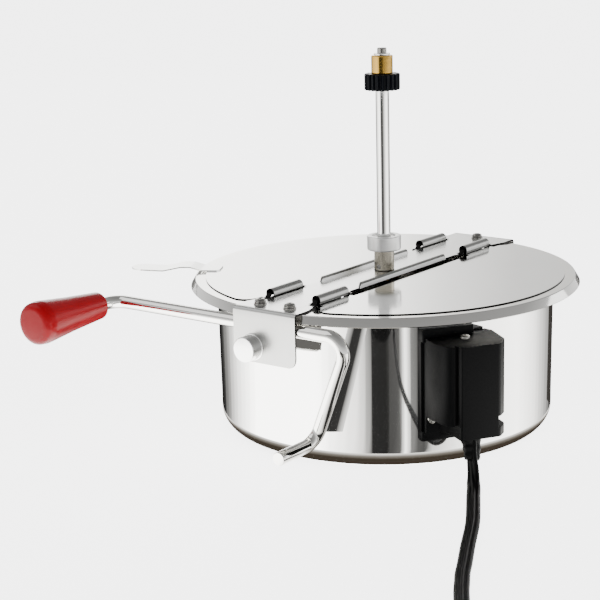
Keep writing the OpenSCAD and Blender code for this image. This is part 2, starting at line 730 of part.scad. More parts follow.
// The space above the roof, or with a negative height the roof itself.
module roof_part(h) {
    translate([0, box_front, roof_z]) rotate([-roof_tilt, 0, 0])
        translate([-40, -60, min(h, 0)]) cube([80, 90, abs(h)]);
}
module side_pocket(s, grow) {
    low = s > 0 ? pocket_z : box_foot_z - 1;
    mirror([s > 0 ? 0 : 1, 0, 0]) translate([13 - grow, pocket_in - grow, low - grow])
        cube([20, 40, pocket_z + pocket_h - low + 2 * grow]);
}

module cover_screws() {
    roof_here = roof_z + (box_front - roof_screw_y) * tan(roof_tilt);
    color(dark_steel) at_box() {
        for (s = [-1, 1]) translate([s * screw_x, pocket_in, screw_z]) rotate([-90, 0, 0]) {
            pan_head(5.6, 2.2);
            translate([0, 0, -4.5]) cylinder(d = cover_screw_d, h = 5);
        }
        translate([0, roof_screw_y, roof_here]) rotate([-roof_tilt, 0, 0]) pan_head(6, 2.2);
        translate([0, roof_screw_y, roof_here - 8]) cylinder(d = cover_screw_d, h = 8.6);
    }
}

module terminal_block() {
    color([0.90, 0.88, 0.80]) at_box() difference() {
        translate([-14, 109.5, 54]) cube([28, 12, 16]);
        for (x = [-9, 0, 9]) translate([x, 116, 62]) rotate([-90, 0, 0]) cylinder(d = 4.2, h = 8);
    }
}

// ---------- lead ----------
module strain_relief() {
    k = [for (i = [0 : relief_n]) i / relief_n];
    p = concat([[101.4, -62.1, 30]], [for (i = [0 : relief_n]) route[i]]);
    wide = concat([5], [for (t = k) lerp(7, 4.6, t)]);
    thick = concat([4.6], [for (t = k) lerp(4.6, 2.2, t)]);
    color(black) swept(p, wide, thick, 12);
}
module power_cord() {
    p = [for (i = [relief_n : len(route) - 1]) route[i]];
    color(black) swept(p, [for (q = p) cord_w / 2], [for (q = p) cord_t / 2]);
}
// A closed ring with the outer size of the coil's turns
module cord_coil() {
    color(black) translate([coil_centre[0], coil_centre[1], coil_foot])
        rotate_extrude($fn = 96) translate([coil_in, 0]) square([coil_wall, coil_h]);
}
module cord_tail() {
    color(black) swept(tail_route, [for (q = tail_route) cord_t / 2], [for (q = tail_route) cord_w / 2]);
}
module cord_tie() {
    band = 0.55;
    gap = 0.25;
    w = coil_wall + 2 * gap;
    at = [coil_centre[0] - coil_in + gap - w, coil_centre[1], 0];
    color([0.15, 0.15, 0.15]) translate(at) difference() {
        translate([-band, -2.5, 0]) cube([w + 2 * band, 5, coil_foot + coil_h + band]);
        translate([0, -4, band]) cube([w, 8, coil_foot + coil_h - band + 0.05]);
    }
}
module plug_body() {
    h = plug_w / 2;
    color(black) translate([plug_x, plug_y, plug_z]) rotate([0, -90, 0]) {
        linear_extrude(plug_len) polygon(concat(
            arc(h - 6, h - 6, 6, 0, 90, 6), arc(-h + 6, h - 6, 6, 90, 180, 6),
            arc(-h + 3, -h + 3, 3, 180, 270, 4), arc(h - 3, -h + 3, 3, -90, 0, 4)));
        rotate([180, 0, 0]) cylinder(r1 = 9, r2 = 5, h = 18);
    }
}
module plug_blades() {
    color([0.80, 0.66, 0.35]) translate([plug_x - plug_len, plug_y, plug_z]) {
        for (s = [-1, 1]) translate([-16, s * 6.35 - 0.75, 0]) cube([16, 1.5, 6.35]);
        translate([-18, 0, -7.5]) rotate([0, 90, 0]) cylinder(d = 4.8, h = 18);
    }
}

pot_shell();
inner_pan();
heat_spreader();
heating_element();
element_clamp();
base_studs();
base_nuts();
insulation_pad();
thermostat();
thermal_fuse();
internal_leads();
lead_grommet();
crossbar();
bar_screws();
bar_nuts();
shaft_bush();
pan_bearing();
pivot_pin_front();
pivot_pin_rear();
pin_nuts();
handle_rod();
handle_grip();
lid_left();
lid_right();
drive_tube();
drive_gear();
bearing_bush();
top_washer();
top_screw();
thrust_collar();
coupling_sleeve();
set_screw();
stirrer_spindle();
stirrer_arms();
box_base();
box_cover();
cover_screws();
terminal_block();
strain_relief();
power_cord();
cord_coil();
cord_tail();
cord_tie();
plug_body();
plug_blades();
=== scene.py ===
"""Popping kettle of a popcorn machine: polished steel pot, two hinged half lids on a
crossbar, geared stirrer drive, red-gripped dump handle, terminal box and flat lead."""
import bpy
import bmesh
from math import sin, cos, tan, pi, radians, sqrt, atan2
from mathutils import Vector, Matrix


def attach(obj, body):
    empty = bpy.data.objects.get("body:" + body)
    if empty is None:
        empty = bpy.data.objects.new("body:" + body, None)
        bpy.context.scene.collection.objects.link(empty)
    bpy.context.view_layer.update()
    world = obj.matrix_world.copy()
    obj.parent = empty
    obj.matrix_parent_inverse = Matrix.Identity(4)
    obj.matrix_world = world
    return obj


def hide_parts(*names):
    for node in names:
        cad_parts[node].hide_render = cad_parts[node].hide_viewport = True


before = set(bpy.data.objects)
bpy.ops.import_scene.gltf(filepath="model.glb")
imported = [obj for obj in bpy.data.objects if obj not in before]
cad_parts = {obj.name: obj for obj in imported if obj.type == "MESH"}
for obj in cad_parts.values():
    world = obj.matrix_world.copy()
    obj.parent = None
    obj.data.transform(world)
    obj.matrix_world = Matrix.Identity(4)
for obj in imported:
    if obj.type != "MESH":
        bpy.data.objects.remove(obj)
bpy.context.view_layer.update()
MM = 0.001

# -------------------- camera
CAM_AZ = 34.3


def make_camera():
    """The photograph's camera: direction, distance and aim, then small turns of its own axes."""
    az, el, dist, aim_z = radians(CAM_AZ), radians(12.79), 1052.94, 96.5
    yaw, pitch, roll = radians(2.92), radians(-0.98), radians(-0.71)
    back = Vector((sin(az) * cos(el), -cos(az) * cos(el), sin(el)))
    x = Vector((0, 0, 1)).cross(back).normalized()
    y = back.cross(x)
    base = Matrix((x, y, back)).transposed()
    turn = Matrix.Rotation(yaw, 3, "Y") @ Matrix.Rotation(pitch, 3, "X") @ Matrix.Rotation(roll, 3, "Z")
    data = bpy.data.cameras.new("camera")
    data.lens = 99.6
    data.sensor_width = 36.0
    data.clip_start, data.clip_end = 0.01, 50
    cam = bpy.data.objects.new("camera", data)
    eye = (back * dist + Vector((0, 0, aim_z))) * MM
    cam.matrix_world = Matrix.Translation(eye) @ (base @ turn).to_4x4()
    bpy.context.scene.collection.objects.link(cam)
    bpy.context.scene.camera = cam


make_camera()


# -------------------- node helpers
class Nodes:
    """Small helper that builds one node material."""

    def __init__(self, name):
        self.mat = bpy.data.materials.new(name)
        self.mat.use_nodes = True
        self.t = self.mat.node_tree
        self.bsdf = self.t.nodes["Principled BSDF"]

    def add(self, kind, **kw):
        n = self.t.nodes.new(kind)
        for k, v in kw.items():
            if k in n.inputs:
                n.inputs[k].default_value = v
            else:
                setattr(n, k, v)
        return n

    def link(self, a, out, b, inp):
        self.t.links.new(a.outputs[out], b.inputs[inp])

    def coords(self, scale=(1, 1, 1)):
        c = self.add("ShaderNodeTexCoord")
        m = self.add("ShaderNodeMapping")
        m.inputs["Scale"].default_value = scale
        self.link(c, "Object", m, "Vector")
        return m

    def noise(self, vec, scale, detail):
        n = self.add("ShaderNodeTexNoise")
        n.inputs["Scale"].default_value = scale
        n.inputs["Detail"].default_value = detail
        n.inputs["Roughness"].default_value = 0.55
        self.link(vec, "Vector", n, "Vector")
        return n

    def ramp(self, src, out, stops):
        r = self.add("ShaderNodeValToRGB")
        for k, (pos, col) in zip(r.color_ramp.elements, stops):
            k.position = pos
            k.color = (*col, 1)
        self.link(src, out, r, "Fac")
        return r

    def remap(self, src, out, lo, hi, a, b):
        m = self.add("ShaderNodeMapRange")
        m.inputs["From Min"].default_value = a
        m.inputs["From Max"].default_value = b
        m.inputs["To Min"].default_value = lo
        m.inputs["To Max"].default_value = hi
        self.link(src, out, m, "Value")
        return m

    def bump(self, src, out, strength, dist):
        b = self.add("ShaderNodeBump")
        b.inputs["Strength"].default_value = strength
        b.inputs["Distance"].default_value = dist
        self.link(src, out, b, "Height")
        return b


def metal(name, col, rough, spread, grain, strength, dark):
    """Bare metal: its roughness and tint vary with fine stretched grain and soft smudges."""
    n = Nodes(name)
    fine = n.noise(n.coords(grain), 1.0, 5)
    smudge = n.noise(n.coords(), 26.0, 3)
    mix = n.add("ShaderNodeMath", operation="ADD")
    n.link(fine, "Fac", mix, 0)
    n.link(smudge, "Fac", mix, 1)
    spot = n.remap(mix, "Value", max(rough - spread, 0.01), rough + spread, 0.6, 1.4)
    n.link(spot, "Result", n.bsdf, "Roughness")
    c = n.ramp(smudge, "Fac", [(0.25, tuple(v * dark for v in col)), (0.7, col)])
    n.link(c, "Color", n.bsdf, "Base Color")
    n.bsdf.inputs["Metallic"].default_value = 1.0
    n.link(n.bump(fine, "Fac", strength, 0.00005), "Normal", n.bsdf, "Normal")
    return n.mat


def plastic(name, col, rough, spread, grain, strength, coat, vary, spec):
    """Moulded plastic: a fine grain in relief, and soft changes of gloss and tint."""
    n = Nodes(name)
    fine = n.noise(n.coords(), grain, 3)
    soft = n.noise(n.coords(), 40.0, 3)
    spot = n.remap(soft, "Fac", rough - spread, rough + spread, 0.3, 0.7)
    n.link(spot, "Result", n.bsdf, "Roughness")
    c = n.ramp(soft, "Fac", [(0.3, tuple(v * vary for v in col)), (0.7, col)])
    n.link(c, "Color", n.bsdf, "Base Color")
    n.link(n.bump(fine, "Fac", strength, 0.0001), "Normal", n.bsdf, "Normal")
    n.bsdf.inputs["Specular IOR Level"].default_value = spec
    n.bsdf.inputs["Coat Weight"].default_value = coat
    n.bsdf.inputs["Coat Roughness"].default_value = 0.08
    return n.mat


# name, colour, roughness and its spread, grain, relief, tint of the darker spots
METALS = {
    "pot": ("polished pot steel", (0.90, 0.895, 0.88), 0.045, 0.02, (60, 60, 1500), 0.015, 0.97),
    "lid": ("polished lid sheet", (0.80, 0.80, 0.79), 0.10, 0.025, (700, 30, 700), 0.02, 0.97),
    "rim": ("polished rim steel", (0.84, 0.83, 0.80), 0.09, 0.03, (60, 60, 1800), 0.02, 0.95),
    "bar": ("brushed bar steel", (0.82, 0.82, 0.81), 0.24, 0.05, (1600, 25, 1600), 0.05, 0.96),
    # painted shade: the flange, bent from the bar's own sheet, is coloured much darker than the bar's top
    "flange": ("brushed flange steel", (0.44, 0.44, 0.43), 0.32, 0.05, (1600, 1600, 25), 0.08, 0.96),
    # painted highlight: the rib's foot is coloured lighter than the bar's top
    "lip": ("satin lip steel", (0.95, 0.95, 0.94), 0.50, 0.05, (1600, 25, 1600), 0.05, 0.96),
    # painted shade: the rolled tabs are coloured much darker than the lid sheet they are rolled from
    "roll": ("rolled tab steel", (0.35, 0.35, 0.34), 0.28, 0.06, (1400, 30, 1400), 0.08, 0.85),
    # painted shade: the rib's crest is coloured dark grey
    "crest": ("turned-up crest in painted shade", (0.13, 0.13, 0.125), 0.36, 0.06, (1400, 30, 1400), 0.08, 0.85),
    # painted shade: sheet edges, the hinge strips and the insides of the rolled tabs are coloured near black for
    # the shade and dark reflections they show
    "edge": ("sheet edge in painted shade", (0.012, 0.0115, 0.011), 0.46, 0.10, (300, 300, 900), 0.15, 0.7),
    "rod": ("polished rod", (0.84, 0.83, 0.80), 0.06, 0.02, (300, 300, 300), 0.004, 0.96),
    "pin": ("turned pin steel", (0.88, 0.88, 0.87), 0.16, 0.04, (1200, 60, 1200), 0.04, 0.95),
    "tube": ("drawn tube steel", (0.86, 0.86, 0.85), 0.05, 0.02, (1500, 1500, 15), 0.003, 0.95),
    "sleeve": ("turned sleeve steel", (0.42, 0.39, 0.32), 0.26, 0.04, (60, 60, 2500), 0.05, 0.85),
    "collar": ("satin collar", (0.80, 0.80, 0.79), 0.34, 0.05, (60, 60, 2200), 0.05, 0.97),
    "screw": ("plated screw", (0.27, 0.265, 0.25), 0.20, 0.06, (400, 400, 400), 0.03, 0.8),
    "brass": ("turned brass", (0.60, 0.36, 0.075), 0.12, 0.04, (60, 60, 2400), 0.05, 0.85),
    "dull": ("dull inner steel", (0.55, 0.545, 0.53), 0.36, 0.08, (300, 300, 300), 0.08, 0.8),
    "heater": ("oxidised heater sheath", (0.30, 0.27, 0.25), 0.48, 0.10, (500, 500, 500), 0.2, 0.6),
    "cast": ("cast aluminium", (0.62, 0.63, 0.65), 0.50, 0.08, (700, 700, 700), 0.4, 0.8),
}
# name, colour, roughness and its spread, grain, relief, coat, tint of the darker spots, specular level
PLASTICS = {
    "red": ("glossy red grip", (0.47, 0.005, 0.012), 0.22, 0.04, 900.0, 0.02, 0.0, 0.9, 0.12),
    "black": ("black moulded case", (0.0035, 0.0037, 0.004), 0.40, 0.06, 2600.0, 0.22, 0.0, 0.7, 0.06),
    "gear": ("black gear nylon", (0.004, 0.005, 0.008), 0.32, 0.05, 2200.0, 0.12, 0.0, 0.7, 0.10),
    "jacket": ("black lead jacket", (0.006, 0.006, 0.0062), 0.36, 0.06, 1800.0, 0.14, 0.0, 0.7, 0.14),
    "plug": ("black plug moulding", (0.006, 0.006, 0.0065), 0.40, 0.06, 2400.0, 0.2, 0.0, 0.7, 0.14),
    "ceramic": ("glazed ceramic", (0.80, 0.78, 0.70), 0.20, 0.05, 300.0, 0.05, 0.4, 0.95, 0.5),
}
M = {key: metal(*values) for key, values in METALS.items()}
M.update((key, plastic(*values)) for key, values in PLASTICS.items())


def woven(name, col):
    """Loose weave: bands crossed by a fine noise, in tint and in relief."""
    n = Nodes(name)
    v = n.coords()
    w = n.add("ShaderNodeTexWave", Scale=420.0, Distortion=1.5)
    n.link(v, "Vector", w, "Vector")
    f = n.noise(v, 900.0, 4)
    m = n.add("ShaderNodeMath", operation="ADD")
    n.link(w, "Fac", m, 0)
    n.link(f, "Fac", m, 1)
    tint = n.ramp(m, "Value", [(0.3, tuple(c * 0.75 for c in col)), (0.9, col)])
    n.link(tint, "Color", n.bsdf, "Base Color")
    n.link(n.bump(m, "Value", 0.6, 0.0003), "Normal", n.bsdf, "Normal")
    n.bsdf.inputs["Roughness"].default_value = 0.9
    return n.mat


M["woven"] = woven("woven glass fibre", (0.80, 0.79, 0.74))


# -------------------- mesh helpers
def apply_mods(ob):
    dg = bpy.context.evaluated_depsgraph_get()
    me = bpy.data.meshes.new_from_object(ob.evaluated_get(dg))
    ob.modifiers.clear()
    ob.data = me


def welded(name, verts, faces, matrix=None, idx=None):
    """A mesh object from millimetre coordinates, welded, with its normals outwards."""
    me = bpy.data.meshes.new(name)
    m = matrix or Matrix.Identity(4)
    me.from_pydata([tuple((m @ Vector(v)) * MM) for v in verts], [], faces)
    if idx:
        me.polygons.foreach_set("material_index", idx)
    bm = bmesh.new()
    bm.from_mesh(me)
    bmesh.ops.remove_doubles(bm, verts=bm.verts, dist=1e-7)
    bmesh.ops.recalc_face_normals(bm, faces=bm.faces)
    bm.to_mesh(me)
    bm.free()
    ob = bpy.data.objects.new(name, me)
    bpy.context.scene.collection.objects.link(ob)
    return ob


def dress(ob, mats, body, replaces, smooth, bevel, segs, sharp):
    """Gives a piece its materials, softened edges, shading, body and the nodes it stands for."""
    for k in mats:
        ob.data.materials.append(M[k])
    if bevel:
        b = ob.modifiers.new("edge", "BEVEL")
        b.width, b.segments, b.limit_method, b.angle_limit = bevel * MM, segs, "ANGLE", radians(sharp)
        apply_mods(ob)
    ob.data.shade_smooth()
    ob.data.set_sharp_from_angle(angle=radians(smooth))
    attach(ob, body)
    if replaces:
        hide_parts(*replaces)
    return ob


def put(name, verts, faces, mats, body, replaces=(), idx=None, smooth=32, matrix=None, bevel=0.0):
    """Makes one piece from millimetre coordinates. mats is a material key or a list of keys."""
    mats = [mats] if isinstance(mats, str) else mats
    return dress(welded(name, verts, faces, matrix, idx), mats, body, replaces, smooth, bevel, 2, 40)


def ring_faces(rows, m):
    """Side faces between rows of m points, each row a closed ring."""
    return [(i * m + k, i * m + (k + 1) % m, (i + 1) * m + (k + 1) % m, (i + 1) * m + k)
            for i in range(rows - 1) for k in range(m)]


def caps(rows, m):
    """End faces of the same rows."""
    return [tuple(range(m))[::-1], tuple((rows - 1) * m + k for k in range(m))]


def sheet_faces(rows, cols, ends):
    """Faces of a bent sheet whose rows hold cols upper and then cols lower points, with edge indices."""
    m = 2 * cols
    f, idx = [], []
    for i in range(rows - 1):
        a, b = i * m, (i + 1) * m
        for k in range(cols - 1):
            f.append((a + k, a + k + 1, b + k + 1, b + k))
            f.append((a + cols + k, b + cols + k, b + cols + k + 1, a + cols + k + 1))
            idx += [0, 0]
        for k in (0, cols - 1):
            f.append((a + k, b + k, b + cols + k, a + cols + k))
            idx.append(1)
    for e in [m * row for row in ends]:
        for k in range(cols - 1):
            f.append((e + k, e + k + 1, e + cols + k + 1, e + cols + k))
            idx.append(1)
    return f, idx


def fillet(pts, radii, closed=False, steps=5):
    """Rounds the corners of a 2D polyline. radii is one number or one per point."""
    n = len(pts)
    radii = [radii] * n if isinstance(radii, (int, float)) else radii
    out = []
    for i, p in enumerate(pts):
        p = Vector(p)
        r = radii[i]
        if r <= 0 or (not closed and i in (0, n - 1)):
            out.append(tuple(p))
            continue
        a = Vector(pts[i - 1]) - p
        b = Vector(pts[(i + 1) % n]) - p
        la, lb = a.length, b.length
        a.normalize()
        b.normalize()
        ang = a.angle(b)
        if ang > pi - 0.02:
            out.append(tuple(p))
            continue
        t = min(r / tan(ang / 2), la * 0.49, lb * 0.49)
        rr = t * tan(ang / 2)
        c = p + (a + b).normalized() * (rr / sin(ang / 2))
        s, e = p + a * t, p + b * t
        a0 = atan2(s[1] - c[1], s[0] - c[0])
        a1 = atan2(e[1] - c[1], e[0] - c[0])
        d = (a1 - a0 + pi) % (2 * pi) - pi
        out += [(c[0] + rr * cos(a0 + d * k / steps), c[1] + rr * sin(a0 + d * k / steps))
                for k in range(steps + 1)]
    return out


def lathe_data(profile, segs, closed):
    """Turns (r, z) points about Z. A closed profile makes a ring; r = 0 points become poles."""
    v, f = [], []
    ids = []
    for r, z in profile:
        if r < 1e-6:
            ids.append([len(v)] * segs)
            v.append((0, 0, z))
        else:
            ids.append(list(range(len(v), len(v) + segs)))
            v += [(r * cos(2 * pi * k / segs), r * sin(2 * pi * k / segs), z) for k in range(segs)]
    n = len(profile)
    for i in range(n if closed else n - 1):
        a, b = ids[i], ids[(i + 1) % n]
        for k in range(segs):
            q = [a[k], a[(k + 1) % segs], b[(k + 1) % segs], b[k]]
            u = []
            for w in q:
                if w not in u:
                    u.append(w)
            if len(u) > 2:
                f.append(u)
    return v, f


def lathe(name, profile, mats, body, replaces=(), segs=64, matrix=None, closed=True, smooth=32):
    v, f = lathe_data(profile, segs, closed)
    return put(name, v, f, mats, body, replaces, smooth=smooth, matrix=matrix)


def prism_data(outline, z0, z1):
    n = len(outline)
    v = [(x, y, z0) for x, y in outline] + [(x, y, z1) for x, y in outline]
    return v, caps(2, n) + ring_faces(2, n)


def sweep_data(path, section, frames=None):
    """Sweeps a closed 2D section, or one section per point, along 3D points.

    frames gives (side, top) vectors per point."""
    path = [Vector(p) for p in path]
    n = len(path)
    v = []
    side = None
    up = Vector((0, 0, 1))
    for i, p in enumerate(path):
        d = (path[min(i + 1, n - 1)] - path[max(i - 1, 0)]).normalized()
        if frames:
            s, t = frames[i]
        else:
            if side is None:
                h = up if abs(d.dot(up)) < 0.9 else Vector((1, 0, 0))
                side = h.cross(d).normalized()
            else:
                side = (side - d * side.dot(d)).normalized()
            s, t = side, d.cross(side)
        sec = section[i] if isinstance(section[0][0], (tuple, list)) else section
        v += [tuple(p + s * a + t * b) for a, b in sec]
    m = len(sec)
    return v, ring_faces(n, m) + caps(n, m)


def smooth_path(pts, step):
    """Centripetal Catmull-Rom through the points, resampled evenly."""
    p = [Vector(q) for q in pts]
    p = [p[0] * 2 - p[1]] + p + [p[-1] * 2 - p[-2]]
    dense = []
    for i in range(1, len(p) - 2):
        t = [0.0]
        for k in range(3):
            t.append(t[-1] + max((p[i + k] - p[i - 1 + k]).length, 1e-6) ** 0.5)
        for j in range(24):
            u = t[1] + (t[2] - t[1]) * j / 24

            def mix(q0, q1, t0, t1):
                return q0 * ((t1 - u) / (t1 - t0)) + q1 * ((u - t0) / (t1 - t0))

            a = [mix(p[i - 1 + k], p[i + k], t[k], t[k + 1]) for k in range(3)]
            b = [mix(a[k], a[k + 1], t[k], t[k + 2]) for k in range(2)]
            dense.append(mix(b[0], b[1], t[1], t[2]))
    dense.append(p[-2])
    total = sum((dense[i + 1] - dense[i]).length for i in range(len(dense) - 1))
    n = max(2, round(total / step))
    out, acc, i = [dense[0]], 0.0, 0
    for k in range(1, n):
        want = total * k / n
        while acc + (dense[i + 1] - dense[i]).length < want:
            acc += (dense[i + 1] - dense[i]).length
            i += 1
        out.append(dense[i].lerp(dense[i + 1], (want - acc) / (dense[i + 1] - dense[i]).length))
    return out + [dense[-1]], total


def ring2d(r, n):
    return [(r * cos(2 * pi * k / n), r * sin(2 * pi * k / n)) for k in range(n)]


def smoothstep(t):
    t = min(max(t, 0.0), 1.0)
    return t * t * (3 - 2 * t)


def axis_matrix(origin, direction):
    """Z to direction, at origin, in millimetres."""
    q = Vector(direction).to_track_quat("Z", "Y").to_matrix().to_4x4()
    return Matrix.Translation(origin) @ q


# -------------------- the lead
ROUTE = [
    (102, -63, 26.5), (103, -64.5, 22), (104.5, -66, 17.5), (107, -69.5, 11), (111, -75, 6), (115, -81.5, 3),
    (119.5, -88.5, 1.9), (124.5, -97, 1.75), (130.5, -107, 1.75), (136.5, -117, 1.75), (143, -128, 1.75),
    (149, -139, 1.75), (155, -151, 1.75), (161, -163, 1.75), (166.5, -173.5, 1.75), (172, -184, 1.75),
    (177, -194, 1.75), (182.5, -203.5, 1.75), (188, -213, 1.75), (194, -222.5, 1.75), (201, -234, 1.75),
    (208.5, -245.5, 1.75), (216, -257, 1.75), (223.5, -268.5, 1.75), (231.5, -280, 1.9), (239, -291.5, 2.4),
    (247, -303.5, 3.1), (254.5, -315, 3.8),
]
TAIL = [(214, -396.2, 13), (205, -395, 13), (198, -393.5, 13), (194, -393, 13), (190, -393, 13)]
COIL = Vector((224, -349, 0))
COIL_R = 44.0
PLUG = Vector((172, -393, 13))


def cord_path():
    """The route to the coil, a little over two turns of it, and the tail into the plug."""
    pts = list(ROUTE)
    start, turn = radians(38), radians(720 + 128)
    n = 62
    for k in range(n + 1):
        a = k / n * turn
        up = smoothstep((a - radians(285)) / radians(75))
        out = smoothstep((a - radians(640)) / radians(75))
        r = COIL_R + 3.4 * out
        pts.append((COIL.x + r * cos(start - a), COIL.y + r * sin(start - a), 4.7 + 8.3 * up))
    return smooth_path(pts + TAIL, 3.0)


def make_cord():
    path, total = cord_path()
    # three round cores side by side, 8 mm across
    lobes, r = [], 1.55
    for cx, a0, a1 in ((2.45, -125, 125), (0.0, 55, 125), (-2.45, 55, 305), (0.0, 235, 305)):
        k = 9 if abs(cx) > 1 else 5
        turn = [radians(a0 + (a1 - a0) * i / (k - 1)) for i in range(k)]
        lobes += [(cx + r * cos(a), r * sin(a)) for a in turn]
    entry = sum((Vector(b) - Vector(a)).length for a, b in zip(ROUTE, ROUTE[1:]))
    frames, lift = [], []
    n = len(path)
    dist = [0.0]
    for i in range(1, n):
        dist.append(dist[-1] + (path[i] - path[i - 1]).length)
    for i, p in enumerate(path):
        d = (path[min(i + 1, n - 1)] - path[max(i - 1, 0)]).normalized()
        level = Vector((0, 0, 1)).cross(d)
        if level.length < 0.25:
            level = Vector((0, 0, 1)).cross(Vector((0.5, -0.86, 0)))
        level.normalize()
        # edge-on where it leaves the box, flat on the table, on edge in the coil
        s = dist[i]
        tw = radians(58) * (1 - smoothstep((s - 12) / 42)) + radians(90) * smoothstep((s - entry + 34) / 30)
        a = Matrix.Rotation(tw, 3, d) @ level
        b = d.cross(a)
        frames.append((a, b))
        # where it turns on edge it is lifted just clear of the table
        low = min(a.z * x + b.z * y for x, y in lobes)
        lift.append(max(0.0, 0.12 - low - p.z))
    for p, up in zip(path, lift):
        p.z += up
    v, f = sweep_data(path, lobes, frames)
    ob = put("lead", v, f, "jacket", "kettle", ("power_cord", "cord_coil", "cord_tail"), smooth=50)
    return ob, path, total


lead, lead_path, lead_len = make_cord()


def make_relief():
    """Tapered strain relief with its ribs, over the first stretch of the lead."""
    pts, _ = smooth_path([(101.4, -62.1, 30)] + ROUTE[:4], 1.2)
    n = len(pts)
    wide = Vector((0.545, 0.839, 0))
    turns = [2 * pi * k / 20 for k in range(20)]
    secs, frames = [], []
    for i in range(n):
        t = i / (n - 1)
        groove = 0.35 if int(t * 9) % 2 and t > 0.35 else 0.0
        w = (7.0 if t > 0.1 else 5.5) * (1 - t) + 4.7 * t - groove
        h = 4.6 * (1 - t) + 2.3 * t - groove
        secs.append([(w * (abs(cos(a)) ** 0.75) * (1 if cos(a) > 0 else -1),
                      h * (abs(sin(a)) ** 0.75) * (1 if sin(a) > 0 else -1)) for a in turns])
        d = (pts[min(i + 1, n - 1)] - pts[max(i - 1, 0)]).normalized()
        s = (wide - d * wide.dot(d)).normalized()
        frames.append((s, d.cross(s)))
    v, f = sweep_data(pts, secs, frames)
    return put("strain_relief_boot", v, f, "jacket", "kettle", ("strain_relief",), smooth=45)


make_relief()


def make_plug():
    """Plug moulding: sections along it from the lead's end to the face that carries the blades."""
    h, taper, least = 12.8, 17.6, 1e-4
    outline = fillet([(h, h - 0.2), (-h, h - 0.2), (-h + 0.6, -h + 0.2), (h - 0.6, -h + 0.2)],
                     [7, 7, 3.5, 3.5], True, 6)
    # taper, shoulder, grip hollow and face
    steps = [(-taper, 0.0), (-17.5, 0.36), (-12, 0.46), (-6, 0.60), (-1.2, 0.78), (0.4, 0.93), (2, 0.985),
             (6, 0.99), (11, 0.93), (18, 0.93), (23, 0.99), (28.6, 1.0), (29.8, 0.965), (29.9, 0.0)]
    v = []
    for z, k in steps:
        for x, y in outline:
            if z < 0:
                # the taper goes from round to the outline
                a = atan2(y, x)
                b = min(1.0, (z + taper) / taper) ** 1.5
                r = h * max(k, least)
                v.append((x * k * b + r * cos(a) * (1 - b), y * k * b + r * sin(a) * (1 - b), z))
            else:
                v.append((x * max(k, least), y * max(k, least), z))
    return put("plug_moulding", v, ring_faces(len(steps), len(outline)), "plug", "kettle", ("plug_body",),
               matrix=axis_matrix(PLUG, (-1, 0, 0)), smooth=40)


plug = make_plug()


def make_tie():
    """Flat tie round both turns of the coil, on the side away from the tail."""
    w, h, t = 7.5, 17.9, 0.55
    prof = fillet([(-t, 0), (w + t, 0), (w + t, h), (-t, h)], 1.2, True, 4)
    inner = fillet([(0, t), (w, t), (w, h - t), (0, h - t)], 0.8, True, 4)
    n = len(prof)
    v, f = [], []
    for y in (-2.4, 2.4):
        v += [(x, y, z) for x, z in prof] + [(x, y, z) for x, z in inner]
    for k in range(n):
        q = (k + 1) % n
        f += [(k, q, n + q, n + k), (2 * n + k, 3 * n + k, 3 * n + q, 2 * n + q), (k, 2 * n + k, 2 * n + q, q),
              (n + k, n + q, 3 * n + q, 3 * n + k)]
    at = Matrix.Translation(COIL + Vector((0.25 + 1.8 - COIL_R - w, 0, 0)))
    return put("lead_tie", v, f, "plug", "kettle", ("cord_tie",), matrix=at, smooth=30)


tie = make_tie()

# -------------------- pot and pan
RIM_Z, RIM_R, SKIRT_R, LID_R = 96.0, 119.5, 122.3, 113.0
BAR_TOP = RIM_Z + 1.2


def make_pot():
    lip, wall, bend = RIM_Z - 1.05, 106.0, 13.2
    outer = fillet([(0, 3.0), (55, 3.0), (58, 0.05), (wall - 0.8, 0.0), (wall, lip)],
                   [0, 2.0, 1.5, 13.0, 0], steps=14)
    inner = fillet([(0, 3.8), (55.2, 3.8), (58.4, 0.85), (wall - 1.6, 0.8), (wall - 0.8, lip)],
                   [0, 1.6, 1.5, 12.2, 0], steps=14)
    # extra rings keep the tall wall's shading even
    extra = [(wall - 0.8 + 0.8 * k / 12, bend + (RIM_Z - 14.4) * k / 12) for k in range(1, 12)]
    prof = outer[:-1] + extra + [outer[-1]] + inner[::-1]
    return lathe("kettle_pot", prof, "pot", "kettle", ("pot_shell",), segs=192, smooth=40, closed=False)


def make_pan():
    """Inner pan: upper face with the rim and its flared skirt, then back along the underside."""
    top = fillet([(97, 35), (98, RIM_Z), (RIM_R - 0.1, RIM_Z), (SKIRT_R, RIM_Z - 4.8)], [0, 3.0, 0.9, 0],
                 steps=6)
    floor = fillet([(0, 35), (97, 35), (98, RIM_Z - 4)], [0, 12, 0], steps=12)
    under = fillet([(SKIRT_R - 0.9, RIM_Z - 5.0), (RIM_R - 1.1, RIM_Z - 1.0), (99.0, RIM_Z - 1.0), (98.0, 34)],
                   [0, 0.8, 2.0, 13], steps=6)
    below = fillet([(99.0, RIM_Z - 6), (98.1, 34), (0, 34)], [0, 13, 0], steps=12)
    prof = floor[:-1] + top[1:] + [(SKIRT_R - 0.45, RIM_Z - 5.25)] + under[:-1] + below[1:]
    return lathe("kettle_pan", prof, "rim", "kettle", ("inner_pan",), segs=192, smooth=30, closed=False)


make_pot()
make_pan()


# -------------------- crossbar
BAR_END, BAR_HALF = 120.6, 22.5
NOTCH_Y = (64.0, 99.0)
FLANGE_Y = 124.1


